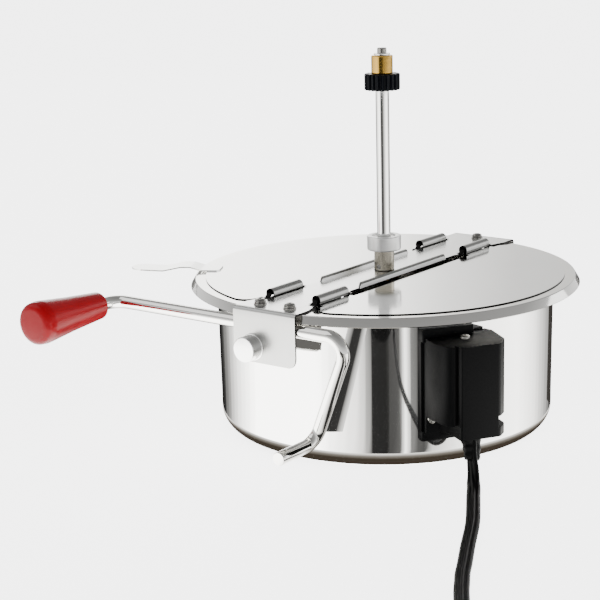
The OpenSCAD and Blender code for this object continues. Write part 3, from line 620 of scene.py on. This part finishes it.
def bar_outline():
    """Outline of the bar's flat top: wide ends, notches round the hinge rolls, narrow middle."""
    mid, notch, shoulder = 15.0, 13.4, 18.7
    y0, y1 = NOTCH_Y
    q = [(mid, 0), (mid, y0 - 4), (shoulder, y0 - 2.2), (shoulder, y0), (notch, y0), (notch, y1), (19.0, y1),
         (20.2, y1 + 4), (BAR_HALF, y1 + 12), (BAR_HALF, BAR_END)]
    right = fillet(q, [0, 2, 1.0, 0.4, 0.8, 0.8, 0.8, 2, 3, 0], steps=3)
    front = [(x, -y) for x, y in right]
    return right + [(-x, y) for x, y in right[::-1]] + [(-x, y) for x, y in front[1:]] + front[::-1][:-1]


def make_bar():
    o = bar_outline()
    v, f = prism_data(o, RIM_Z, BAR_TOP)
    put("crossbar_plate", v, f, ["bar", "edge"], "kettle", ("crossbar",), idx=[0, 0] + [1] * len(o), smooth=30)


def make_flange(side):
    """Bent end of the bar: a small bend radius, then the flange with rounded lower corners."""
    t, bend, corner_w, corner_h, cols = 1.2, 2.2, 5, 6, 9
    low = RIM_Z - 31 + corner_h
    cy, cz = FLANGE_Y - bend, BAR_TOP - bend
    # rows down the sheet: half width, y and z of the outer face, and its normal
    rows = [(BAR_HALF, BAR_END, BAR_TOP, 0, 1)]
    for a in [radians(90 - 90 * k / 8) for k in range(9)]:
        rows.append((BAR_HALF, cy + bend * cos(a), cz + bend * sin(a), cos(a), sin(a)))
    rows += [(BAR_HALF, FLANGE_Y, cz + (low - cz) * k / 6, 1, 0) for k in range(1, 7)]
    for a in [radians(90 * k / 8) for k in range(1, 9)]:
        rows.append((BAR_HALF - corner_w + corner_w * cos(a), FLANGE_Y, low - corner_h * sin(a), 1, 0))
    v = []
    for half, y, z, ny, nz in rows:
        for depth in (0, t):
            v += [(-half + 2 * half * k / (cols - 1), y - ny * depth, z - nz * depth) for k in range(cols)]
    f, idx = sheet_faces(len(rows), cols, [len(rows) - 1])
    # the flange takes the darker flange colour as painted shade
    put("crossbar_flange_%s" % ("rear" if side > 0 else "front"), v, f, ["flange", "edge"], "kettle", idx=idx,
        smooth=30, matrix=Matrix.Diagonal((side, side, 1, 1)))


def make_rib(side):
    """Turned-up edge of the bar's narrow middle: a light satin foot as painted highlight, and a dark grey crest as
    painted shade.
    """
    rise, half, t, out, root = 3.0, 48.5, 1.1, 15.0, RIM_Z + 0.4
    line = fillet([(-half, 0.0), (-half + 1.5, rise), (half - 1.5, rise), (half, 0.0)], [0, 1.2, 1.2, 0], steps=4)
    v = []
    for y, h in line:
        foot, top = BAR_TOP + h * 0.52, BAR_TOP + h
        v += [(out + 0.2, y, root), (out, y, foot), (out, y, top), (out - t, y, top), (out - t, y, foot),
              (out - t - 0.2, y, root)]
    n = len(line)
    idx = [0, 1, 1, 1, 0, 0] * (n - 1) + [1, 1]
    put("crossbar_rib_%s" % ("right" if side > 0 else "left"), v, ring_faces(n, 6) + caps(n, 6), ["lip", "crest"],
        "kettle", idx=idx, smooth=30, matrix=Matrix.Diagonal((side, 1, 1, 1)))


def make_strip(sx, sy):
    """The bar's lifted strip that a rolled tab turns on."""
    lift, x0, x1 = 2.5, 15.3, 18.7
    y0, y1 = NOTCH_Y
    pts = [(y0 - 3, 0), (y0, 0), (y0 + 2.6, lift), (y1 - 2.6, lift), (y1, 0), (y1 + 3, 0)]
    line = fillet(pts, [0, 1.2, 1.2, 1.2, 1.2, 0], steps=3)
    v = []
    for y, h in line:
        v += [(x0, y, RIM_Z + h), (x1, y, RIM_Z + h), (x1, y, BAR_TOP + h), (x0, y, BAR_TOP + h)]
    n = len(line)
    # painted shade: the whole strip takes the near-black edge colour, as it lies in shade inside its roll
    put("hinge_strip_%s_%s" % ("r" if sx > 0 else "l", "b" if sy > 0 else "f"), v, ring_faces(n, 4) + caps(n, 4),
        "edge", "kettle", smooth=30, matrix=Matrix.Diagonal((sx, sy, 1, 1)), bevel=0.2)


make_bar()
for s in (-1, 1):
    make_flange(s)
    make_rib(s)
for sx in (-1, 1):
    for sy in (-1, 1):
        make_strip(sx, sy)


# -------------------- screws
def screw_head(name, at, direction, d, h, body, replaces=(), washer=True):
    """Pan head with a round recess. Two washers lie below it where washer is set."""
    r = d / 2
    prof = [(0, 0)]
    if washer:
        prof += fillet([(r * 1.12, 0), (r * 1.12, h * 0.26), (r * 0.9, h * 0.26)], [0, 0.15, 0.1], steps=3)
        prof += [(r * 0.86, h * 0.32)]
        prof += fillet([(r, h * 0.36), (r, h * 0.50), (r * 0.84, h * 0.52)], [0.1, 0.15, 0.1], steps=3)
        prof += [(r * 0.84, h * 0.58)]
    else:
        prof += [(r, 0)]
    prof += [(r * a, h * b) for a, b in ((0.97, 0.62), (0.93, 0.76), (0.80, 0.90), (0.55, 0.985), (0.36, 1),
                                         (0.30, 0.86), (0, 0.70))]
    lathe(name, prof, "screw", body, replaces, segs=40, matrix=axis_matrix(at, direction), closed=False, smooth=28)


BAR_SCREWS = {"bar_screw_left": (-10.8, -113), "bar_screw_right": (10.8, -113), "bar_screw_rear": (0, 113)}
for name, (x, y) in BAR_SCREWS.items():
    stands_for = ("bar_screws",) if name == "bar_screw_left" else ()
    screw_head(name, (x, y, BAR_TOP), (0, 0, 1), 6.9, 3.4, "kettle", stands_for)

# -------------------- pivot pins
PIN_X, PIN_Z = -8.5, 74.2


def make_pin(side):
    """Pin with a thin collar against the flange and a stud through it."""
    r, end = 7.5, 8.9
    prof = [(0, -6), (4, -6), (4, 0)] + fillet([(8.0, 0), (8.0, 0.9), (7.45, 0.95)], [0.3, 0.25, 0], steps=3)
    prof += fillet([(r, 1.0), (r, end), (0, end)], [0, 0.6, 0], steps=5)
    where = "rear" if side > 0 else "front"
    lathe("pivot_pin_%s_turned" % where, prof, "pin", "kettle", ("pivot_pin_" + where,),
          matrix=axis_matrix((PIN_X, side * FLANGE_Y, PIN_Z), (0, side, 0)), closed=False)


for s in (-1, 1):
    make_pin(s)

# -------------------- handle
ROD_Y, ROD_Z, GRIP_X = -118.9, 86.5, -121


def bend_path(pts, rb, step=1.5):
    """Polyline with its corners turned into arcs of radius rb."""
    p = [Vector(q) for q in pts]
    out = [p[0]]
    for i in range(1, len(p) - 1):
        a, b = (p[i - 1] - p[i]).normalized(), (p[i + 1] - p[i]).normalized()
        ang = a.angle(b)
        t = rb / tan(ang / 2)
        c = p[i] + (a + b).normalized() * (rb / sin(ang / 2))
        s, e = p[i] + a * t - c, p[i] + b * t - c
        tot = s.angle(e)
        k = max(6, int(tot * rb / step))
        ax = s.cross(e).normalized()
        out += [c + Matrix.Rotation(tot * j / k, 3, ax) @ s for j in range(k + 1)]
    return out + [p[-1]]


def make_rod():
    """One bent rod: grip end, run along the front flange, slanted leg and free foot."""
    r, blunt, foot_x, foot_z = 4.0, 0.4, 31.5, 21.5
    pts = bend_path([(GRIP_X, ROD_Y - 60, ROD_Z), (GRIP_X, ROD_Y, ROD_Z), (57, ROD_Y, ROD_Z),
                     (foot_x, ROD_Y, foot_z), (foot_x, ROD_Y - 34.6, foot_z)], 10)
    # long straight legs get extra rings, and the free end is rounded
    full = []
    for a, b in zip(pts, pts[1:]):
        k = max(1, int((b - a).length / 8))
        full += [a.lerp(b, j / k) for j in range(k)]
    full.append(pts[-1])
    sec = [ring2d(r, 24) for _ in full]
    d = (full[-1] - full[-2]).normalized()
    for a in [radians(22.5 * k) for k in (1, 2, 3, 4)]:
        full.append(pts[-1] + d * (blunt * sin(a)))
        sec.append(ring2d(r - blunt * (1 - cos(a)), 24))
    v, f = sweep_data(full, sec)
    put("dump_handle_rod", v, f, "rod", "kettle", ("handle_rod",), smooth=35)


def make_grip():
    r, long = 13.1, 57
    tip = 15 + long - ROD_Y
    prof = fillet([(4.0, tip - long), (8.3, tip - long), (10.6, tip - 30), (r, tip - 8), (r - 0.6, tip), (0, tip)],
                  [0, 1.8, 30, 9, 5.2, 0], steps=8)
    lathe("dump_handle_grip", prof, "red", "kettle", ("handle_grip",), segs=72,
          matrix=axis_matrix((GRIP_X, 0, ROD_Z), (0, -1, 0)), closed=False, smooth=50)


make_rod()
make_grip()

# -------------------- lids
HINGE_X, HINGE_Z = 17.0, RIM_Z + 3.1
LID_T = 0.7


def lid_outline(edge):
    """Half disc with rounded corners. edge is how close its straight side comes to the bar's middle."""
    c, x0, x1, step_x = 9.0, 18.3, 23.1, max(edge, 19.6)
    cy = sqrt((LID_R - c) ** 2 - (x1 + c) ** 2)
    a = atan2(cy, x1 + c)
    up = fillet([(edge, 0), (edge, 57.5), (step_x, 61.5), (step_x, 65.4), (x0, 66.6), (x0, 96.0), (x1, 96.6)],
                [0, 1.5, 1.5, 0.8, 0.4, 0.3, 0.5], steps=4)
    corner = [(x1 + c + c * cos(t), cy + c * sin(t)) for t in [pi + (a - pi) * k / 8 for k in range(9)]]
    arc = [(LID_R * cos(t), LID_R * sin(t)) for t in [a - 0.02 - (a - 0.02) * k / 40 for k in range(41)]]
    half = up + corner + arc
    return half + [(x, -y) for x, y in half[::-1]][1:-1]


def make_tab(name, sy, matrix):
    """Tab of a lid, rolled round the bar's strip: a spiral that ends just above the plate."""
    spiral = [(radians(-90 - 312 * k / 32), 3.2 - 0.15 * k / 32) for k in range(33)]
    sides = []
    for z, inset in ((0.0, 0.0), (0.64, 0.6)):
        flat = [(HINGE_X + 3.6, RIM_Z + z + 0.02), (HINGE_X + 1.6, RIM_Z + z)]
        sides.append(flat + [(HINGE_X + (r - inset) * cos(a), HINGE_Z + (r - inset) * sin(a)) for a, r in spiral])
    line = sides[0] + sides[1][::-1]
    n, h = len(line), len(sides[0])
    v = [(x, y, z) for y in ((67.0, 95.6) if sy > 0 else (-95.6, -67.0)) for x, z in line]
    f, idx = [], []
    for k in range(h - 1):
        f.append((k, k + 1, n - 2 - k, n - 1 - k))
        f.append((n + k, 2 * n - 1 - k, 2 * n - 2 - k, n + k + 1))
        idx += [1, 1]
    # the inside of the curl takes the near-black edge colour as painted shade
    for k in range(n):
        f.append((k, n + k, n + (k + 1) % n, (k + 1) % n))
        idx.append(0 if k < h - 1 else 1)
    put("rolled_tab_%s_%s" % (name, "rear" if sy > 0 else "front"), v, f, ["roll", "edge"], name + "_lid",
        idx=idx, smooth=30, matrix=matrix)


def make_lid(side):
    o = lid_outline(22.9 if side > 0 else 16.3)
    v, f = prism_data(o, RIM_Z + 0.02, RIM_Z + LID_T)
    m = Matrix.Diagonal((side, 1, 1, 1))
    name = "right" if side > 0 else "left"
    put("half_lid_" + name, v, f, ["lid", "edge"], name + "_lid", ("lid_" + name,), idx=[0, 0] + [1] * len(o),
        smooth=30, matrix=m)
    for sy in (-1, 1):
        make_tab(name, sy, m)


def make_lift_tab():
    """Spring-like lift tab: flat on the lid, a hump over the rim, then a long rounded tongue."""
    w, corner, t, cols = 8.3, 3, 0.8, 7
    line = fillet([(LID_R - 8, 0.9), (LID_R + 4, 0.9), (LID_R + 11, 2.9), (LID_R + 17, 2.9), (LID_R + 29, 0.4),
                   (LID_R + 51, 1.2)], [0, 6, 5, 6, 8, 0], steps=5)
    dense = []
    for a, b in zip(line, line[1:]):
        k = max(1, int(Vector((b[0] - a[0], b[1] - a[1])).length / 1.5))
        dense += [(a[0] + (b[0] - a[0]) * j / k, a[1] + (b[1] - a[1]) * j / k) for j in range(k)]
    dense.append(line[-1])
    start, end = dense[0][0], dense[-1][0]
    v = []
    for x, z in dense:
        half, d, b = w, end - x, x - start
        if d < w:
            half = max(0.6, sqrt(max(w ** 2 - (w - d) ** 2, 0)))
        if b < corner:
            half = min(half, w - corner + sqrt(max(corner ** 2 - (corner - b) ** 2, 0)))
        for lay in (0, t):
            v += [(x, -half + 2 * half * k / (cols - 1), RIM_Z + z + 0.6 - lay) for k in range(cols)]
    f, _ = sheet_faces(len(dense), cols, [0, len(dense) - 1])
    put("lid_lift_tab", v, f, "lid", "left_lid", smooth=40, matrix=Matrix.Rotation(radians(180 + 28.5), 4, "Z"))


for s in (-1, 1):
    make_lid(s)
make_lift_tab()

# -------------------- stirrer drive
SLEEVE_TOP = 110.5
GEAR_Z, GEAR_H = 211.0, 10.0
GEAR_TOP = GEAR_Z + GEAR_H


def hold_runs(prof):
    """Adds points just inside each long straight run of a closed profile, so its shading stays level."""
    out = []
    for (x0, z0), (x1, z1) in zip(prof, prof[1:] + prof[:1]):
        out.append((x0, z0))
        long = sqrt((x1 - x0) ** 2 + (z1 - z0) ** 2)
        if long > 3:
            out += [(x0 + (x1 - x0) * k, z0 + (z1 - z0) * k) for k in (0.2 / long, 1 - 0.2 / long)]
    return out


def tube(name, r, z0, z1, bore, mat, body, replaces, bev):
    o = fillet([(bore, z0), (r, z0), (r, z1), (bore, z1)], [0.1, bev, bev, 0.3], True, 4)
    lathe(name, hold_runs(o), mat, body, replaces)


def make_collar():
    """Thrust collar on the sleeve, and the darker seat inside its upper face."""
    r, bore, top, seat = 10.7, 4.3, 119.5, 118.2
    o = fillet([(6.5, SLEEVE_TOP), (r, SLEEVE_TOP), (r, top), (7.4, top), (7.2, seat), (bore, seat)],
               [0.2, 0.8, 0.5, 0.25, 0, 0], steps=5) + [(bore, SLEEVE_TOP)]
    lathe("thrust_collar_turned", hold_runs(o), "collar", "stirrer", ("thrust_collar",), segs=72)
    o = fillet([(4.2, 118.1), (7.1, 118.1), (6.9, 118.9), (4.2, 118.9)], 0.2, True, 3)
    lathe("collar_seat", o, "dull", "stirrer")


def make_gear():
    teeth, tip, root, bore = 20, 11.0, 9.2, 3.0
    # a tooth's points: radius, and place in its share of the turn
    flank = [(root, -0.34), (root + 0.25, -0.27), (tip - 0.25, -0.17), (tip, -0.10)]
    tooth = flank + [(r, -a) for r, a in flank[::-1]]
    turned = [(r, 2 * pi * (i + a) / teeth) for i in range(teeth) for r, a in tooth]
    o = [(r * cos(t), r * sin(t)) for r, t in turned]
    n = len(o)
    rings = [(0.955, 0.0), (1.0, 0.45), (1.0, GEAR_H - 0.45), (0.955, GEAR_H)]
    v = [(x * k, y * k, GEAR_Z + z) for k, z in rings for x, y in o]
    v += [(x, y, z) for z in (GEAR_Z, GEAR_TOP) for x, y in ring2d(bore, n)]
    f = ring_faces(len(rings), n)
    up, b0 = 3 * n, 4 * n
    for k in range(n):
        q = (k + 1) % n
        f += [(k, b0 + k, b0 + q, q), (up + k, up + q, b0 + n + q, b0 + n + k),
              (b0 + k, b0 + n + k, b0 + n + q, b0 + q)]
    put("drive_gear_cut", v, f, "gear", "stirrer", ("drive_gear",), smooth=35)


tube("drive_tube_drawn", 4.2, 108, GEAR_Z, 2.5, "tube", "stirrer", ("drive_tube",), 0.2)
tube("coupling_sleeve_turned", 6.3, 97.6, SLEEVE_TOP, 4.2, "sleeve", "stirrer", ("coupling_sleeve",), 0.3)
make_collar()
make_gear()
tube("bearing_bush_turned", 6.65, GEAR_TOP + 0.1, GEAR_TOP + 11.2, 3.05, "brass", "bearing",
     ("bearing_bush",), 0.5)
tube("top_washer_flat", 5.0, GEAR_TOP + 11.4, GEAR_TOP + 12.4, 2.0, "pin", "stirrer", ("top_washer",), 0.2)
screw_head("top_screw_head", (0, 0, GEAR_TOP + 12.3), (0, 0, 1), 5.8, 3.5, "stirrer", washer=False)
screw_head("set_screw_head", (0, -5.6, 100), (0, -1, 0), 3.2, 0.9, "stirrer", ("set_screw",), washer=False)

# -------------------- terminal box
BOX_A = radians(57)
OUT = Vector((sin(BOX_A), -cos(BOX_A), 0))
SIDE = Vector((cos(BOX_A), sin(BOX_A), 0))
BOX = Matrix(((SIDE.x, OUT.x, 0, 0), (SIDE.y, OUT.y, 0, 0), (0, 0, 1, 0), (0, 0, 0, 1)))
# across and out from the kettle's axis
BOX_HALF, BOX_BACK, BOX_FRONT, SCREW_SEAT = 21.5, 107.6, 132.8, 111.2
ROOF_Z, ROOF_SLOPE = 79.9, 0.07


def cut(ob, other, op="DIFFERENCE"):
    m = ob.modifiers.new("cut", "BOOLEAN")
    m.object, m.operation, m.solver = other, op, "EXACT"
    apply_mods(ob)
    bpy.data.objects.remove(other, do_unlink=True)


def prism(outline, z0, z1):
    v, f = prism_data(outline, z0, z1)
    return welded("tool", v, f, BOX)


def settle(ob, name, replaces, bevel, segs):
    ob.name = name
    ob.data.name = name
    dress(ob, ["black"], "kettle", replaces, 35, bevel, segs, 38)


def box_plan():
    """Cover in plan: a deep lobe on the left, a groove, a flat front and a rounded right side."""
    turn = [radians(90) * k / 12 for k in range(13)]
    lobe = [(-BOX_HALF + 9.0 * (1 - cos(t)), 109.5 + 20.8 * sin(t)) for t in turn]
    groove = [(-12.0, 130.4), (-11.4, 128.6), (-10.4, 128.6), (-9.6, 131.6)]
    front = fillet([(-9.6, 131.6), (-8.6, BOX_FRONT), (15.5, BOX_FRONT), (BOX_HALF, 126.0), (BOX_HALF, BOX_BACK)],
                   [0, 0.8, 4.5, 6, 0], steps=5)[1:]
    return [(-BOX_HALF, BOX_BACK)] + lobe + groove + front


def make_box():
    """Cover, and the base plate with its upper and lower lugs, cut to the pot's wall."""
    far, lower_top = 40, 36.5
    cover = prism(box_plan(), 24.6, 81.5)
    # the roof slopes down a little to the front
    v, f = prism_data([(-far, 90), (far, 90), (far, 150), (-far, 150)], 0, 30)
    v = [(x, y, z + ROOF_Z + (BOX_FRONT - y) * ROOF_SLOPE) for x, y, z in v]
    cut(cover, welded("tool", v, f, BOX))
    # lower screw corners, the left one under a sloping edge
    v, f = prism_data([(-far, SCREW_SEAT), (-13.0, SCREW_SEAT), (-9.5, 116), (-9.0, 150), (-far, 150)], 20,
                      lower_top)
    v = [(x, y, z if z < lower_top else z - max(0.0, (x + 22) * 0.30)) for x, y, z in v]
    cut(cover, welded("tool", v, f, BOX))
    cut(cover, prism([(far, SCREW_SEAT), (14.5, SCREW_SEAT), (14.5, 150), (far, 150)], 30.2, 36.8))
    settle(cover, "terminal_cover", ("box_cover",), 0.55, 3)
    w, back = 23, 98
    base = prism([(-w, back), (w, back), (w, BOX_BACK), (-w, BOX_BACK)], 24, 80.2)
    for x, y, r, z0, z1 in ((9.5, 110.2, 1, 79.0, 86.4), (-1, 108.6, 1.5, 19.1, 25)):
        lug = fillet([(-w, back), (x, back), (x, y), (-w, y)], [0, 0, r, r], True, 3)
        cut(base, prism(lug, z0, z1), "UNION")
    v, f = lathe_data([(0, -20), (106.1, -20), (106.3, 200), (0, 200)], 192, False)
    cut(base, welded("tool", v, f))
    settle(base, "terminal_base", ("box_base",), 0.5, 2)


make_box()
for s in (-1, 1):
    at = SIDE * (s * 18) + OUT * SCREW_SEAT + Vector((0, 0, 33.5))
    screw_head("cover_screw_%s" % ("r" if s > 0 else "l"), at, OUT, 5.6, 2.4, "kettle",
               ("cover_screws",) if s < 0 else (), washer=False)
at = OUT * 118 + Vector((0, 0, ROOF_Z + (BOX_FRONT - 118) * ROOF_SLOPE))
screw_head("roof_screw", at, (OUT.x * ROOF_SLOPE, OUT.y * ROOF_SLOPE, 1), 6.0, 2.2, "kettle", washer=False)

# -------------------- kept CAD nodes
KEEP = {
    "cast": "heat_spreader", "heater": "heating_element", "dull": "element_clamp pan_bearing stirrer_arms",
    "screw": "base_studs base_nuts bar_nuts pin_nuts top_screw", "woven": "insulation_pad internal_leads",
    "black": "thermostat", "ceramic": "thermal_fuse terminal_block", "jacket": "lead_grommet",
    "brass": "shaft_bush plug_blades", "rod": "stirrer_spindle",
}
for key, nodes in KEEP.items():
    for ob in [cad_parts[node] for node in nodes.split()]:
        if not ob.material_slots:
            ob.data.materials.append(M[key])
        for slot in ob.material_slots:
            slot.material = M[key]


# -------------------- stage and light
def heading(angle):
    """Level direction, turned from -Y towards +X by this many degrees."""
    return Vector((sin(radians(angle)), -cos(radians(angle)), 0))


def glow(name, grid, levels):
    """A sheet of light that only mirrors see. grid holds rows of points, levels their brightness."""
    rows, cols = len(grid), len(grid[0])
    me = bpy.data.meshes.new(name)
    faces = [(i * cols + k, i * cols + k + 1, (i + 1) * cols + k + 1, (i + 1) * cols + k)
             for i in range(rows - 1) for k in range(cols - 1)]
    me.from_pydata([tuple(Vector(p) * MM) for row in grid for p in row], [], faces)
    tint = me.color_attributes.new("glow", "FLOAT_COLOR", "POINT")
    for k, e in enumerate([e for row in levels for e in row]):
        e = e if isinstance(e, tuple) else (e, e * 0.99, e * 0.96)
        tint.data[k].color = (*e, 1)
    mat = bpy.data.materials.new(name)
    mat.use_nodes = True
    t = mat.node_tree
    t.nodes.clear()
    o = t.nodes.new("ShaderNodeOutputMaterial")
    em = t.nodes.new("ShaderNodeEmission")
    at = t.nodes.new("ShaderNodeAttribute")
    at.attribute_name = "glow"
    t.links.new(at.outputs["Color"], em.inputs["Color"])
    t.links.new(em.outputs[0], o.inputs["Surface"])
    me.materials.append(mat)
    ob = bpy.data.objects.new(name, me)
    bpy.context.scene.collection.objects.link(ob)
    ob.visible_camera = ob.visible_diffuse = ob.visible_shadow = ob.visible_transmission = False


def flag(name, corners, level):
    """A flat four-cornered sheet of one brightness."""
    a, b, c, d = corners
    glow(name, [[a, b], [d, c]], [[level] * 2] * 2)


def floor_fan(name, stops, near, far, start_r=0.0):
    """Floor brightness by direction off the camera, as a round wall of start_r mirrors it."""
    cols = []
    for (a, ea), (b, eb) in zip(stops, stops[1:]):
        k = max(1, round((b - a) / 6))
        cols += [(a + (b - a) * i / k, ea + (eb - ea) * i / k) for i in range(k)]
    cols.append(stops[-1])
    lift = Vector((0, 0, 0.1))
    grid = [[heading(CAM_AZ + phi / 2) * start_r + heading(CAM_AZ + phi) * d + lift for phi, _ in cols]
            for d in (near, far)]
    glow(name, grid, [[e for _, e in cols]] * 2)


def make_floor():
    n = Nodes("pale floor")
    f = n.noise(n.coords(), 9.0, 3)
    n.link(n.ramp(f, "Fac", [(0.2, (0.90,) * 3), (0.8, (0.94,) * 3)]), "Color", n.bsdf, "Base Color")
    n.bsdf.inputs["Roughness"].default_value = 0.9
    n.bsdf.inputs["Specular IOR Level"].default_value = 0.1
    n.bsdf.inputs["Emission Color"].default_value = (1, 1, 1, 1)
    n.bsdf.inputs["Emission Strength"].default_value = 4.4
    me = bpy.data.meshes.new("floor")
    s, z = 30, -0.0002
    me.from_pydata([(-s, -s, z), (s, -s, z), (s, s, z), (-s, s, z)], [], [(0, 1, 2, 3)])
    me.materials.append(n.mat)
    ob = bpy.data.objects.new("floor", me)
    bpy.context.scene.collection.objects.link(ob)
    ob.visible_diffuse = False


def make_world():
    """Studio air: brightest at the horizon, dimmer overhead."""
    w = bpy.data.worlds.new("studio")
    bpy.context.scene.world = w
    w.use_nodes = True
    t = w.node_tree
    bg = t.nodes["Background"]
    co = t.nodes.new("ShaderNodeTexCoord")
    xyz = t.nodes.new("ShaderNodeSeparateXYZ")
    ramp = t.nodes.new("ShaderNodeValToRGB")
    t.links.new(co.outputs["Generated"], xyz.inputs[0])
    t.links.new(xyz.outputs["Z"], ramp.inputs["Fac"])
    t.links.new(ramp.outputs["Color"], bg.inputs["Color"])
    e = ramp.color_ramp.elements
    e.new(0.5)
    for k, (pos, v) in zip(e, ((0.05, 1.0), (0.5, 0.34), (1.0, 0.20))):
        k.position = pos
        k.color = (v, v, v, 1)
    bg.inputs["Strength"].default_value = 1.35


def make_mirrored():
    """Everything the polished steel mirrors besides the floor and the air."""
    # floor sectors for the pot's wall, the drive tube and the brass bush
    floor_fan("fan_pot", [(-180, 0.02), (-156, 0.03), (-141, 0.5), (-129, 1.9), (-112, 5), (-100, 8), (-48, 8),
                          (-38, 5), (-25, 3.2), (-17, 2.0), (-13, 0.8), (-9, 0.035), (0, 0.03), (2.5, 0.10),
                          (9, 0.17), (11, 1.5), (12.5, 3.5), (14.5, 2.0), (16.5, 0.35), (21, 0.15), (25, 0.12),
                          (31, 1.5), (60, 4), (99, 5), (120, 3.0), (130, 1.6), (141, 0.8), (155, 0.12),
                          (180, 0.04)], 10, 420, 106.5)
    floor_fan("fan_tube", [(-180, 0.2), (-137, 0.25), (-112, 1.8), (-60, 5), (-42, 3.5), (-36, 1.0), (-31, 0.10),
                           (-3, 0.10), (9, 0.5), (28, 1.4), (42, 3), (75, 4.5), (104, 1.2), (137, 0.2),
                           (180, 0.2)], 430, 1800)
    floor_fan("fan_bush", [(-180, 0.3), (-135, 0.6), (-112, 2), (-64, 2.6), (-38, 1.9), (-29, 0.06), (4, 0.05),
                           (14, 0.6), (28, 0.5), (52, 0.6), (94, 1.6), (137, 0.4), (180, 0.3)], 1810, 14000)
    # painted reflection for the pot's rounded foot: a ring only mirrors see, dark brown under the foot and bright
    # beyond it
    turns = [radians(5 * k) for k in range(73)]
    rings = [(88, (0.05, 0.04, 0.03)), (105, (0.07, 0.055, 0.04)), (110, (0.35, 0.32, 0.28)),
             (117, (2.0, 1.95, 1.85))]
    glow("foot_ring", [[(q * cos(a), q * sin(a), 0.25) for a in turns] for q, _ in rings],
         [[e] * len(turns) for _, e in rings])
    # soft backdrop that the lids mirror, brighter on the left
    away, low = 2200, 60
    back, side = heading(CAM_AZ + 180) * away, heading(CAM_AZ + 90)
    cols = [(-900, 5), (-360, 4.9), (-170, 4.4), (-60, 4.0), (60, 2.5), (125, 1.9), (260, 1.3), (400, 1.15),
            (900, 1.0)]
    glow("backdrop", [[back + side * x + Vector((0, 0, z)) for x, _ in cols] for z in (low, 1150)],
         [[e for _, e in cols]] * 2)
    # a plainer one to the right, for the upright faces that mirror over the lids
    back, side = heading(CAM_AZ + 112) * away, heading(CAM_AZ + 22)
    corners = ((-700, low), (700, low), (700, 900), (-700, 900))
    flag("side_backdrop", [back + side * x + Vector((0, 0, z)) for x, z in corners], (3.0, 3.0, 3.0))
    # dark flags that the pot mirrors behind the handle rod's slanted leg and the bar's front flange
    leg = [((44.5, 84), (50, 84), (56, 84), (61, 84)), ((20.5, 18), (26, 18), (32.5, 18), (38, 18))]
    glow("rod_flag", [[(x, -114.4, z) for x, z in row] for row in leg], [[1.2, 0.04, 0.05, 1.8]] * 2)
    flag("flange_flag", [(x, -122.8, z) for x, z in ((-22, 66), (22, 66), (22, 95), (-22, 95))],
         (0.16, 0.155, 0.145))
    # a dark strip that darkens the pot's right-hand outline
    a, b, up = heading(CAM_AZ + 100) * 113, heading(CAM_AZ + 100) * 136, Vector((0, 0, 88))
    flag("outline_flag", [a, b, b + up, a + up], (0.06, 0.055, 0.05))


def make_key():
    key = bpy.data.lights.new("key", "AREA")
    key.shape, key.size, key.size_y, key.energy = "RECTANGLE", 1.2, 1.2, 6
    ob = bpy.data.objects.new("key", key)
    ob.location = (-0.9, -0.6, 1.3)
    ob.rotation_euler = (Vector((0, 0, 0.05)) - ob.location).to_track_quat("-Z", "Y").to_euler()
    bpy.context.scene.collection.objects.link(ob)


make_floor()
make_world()
make_mirrored()
make_key()
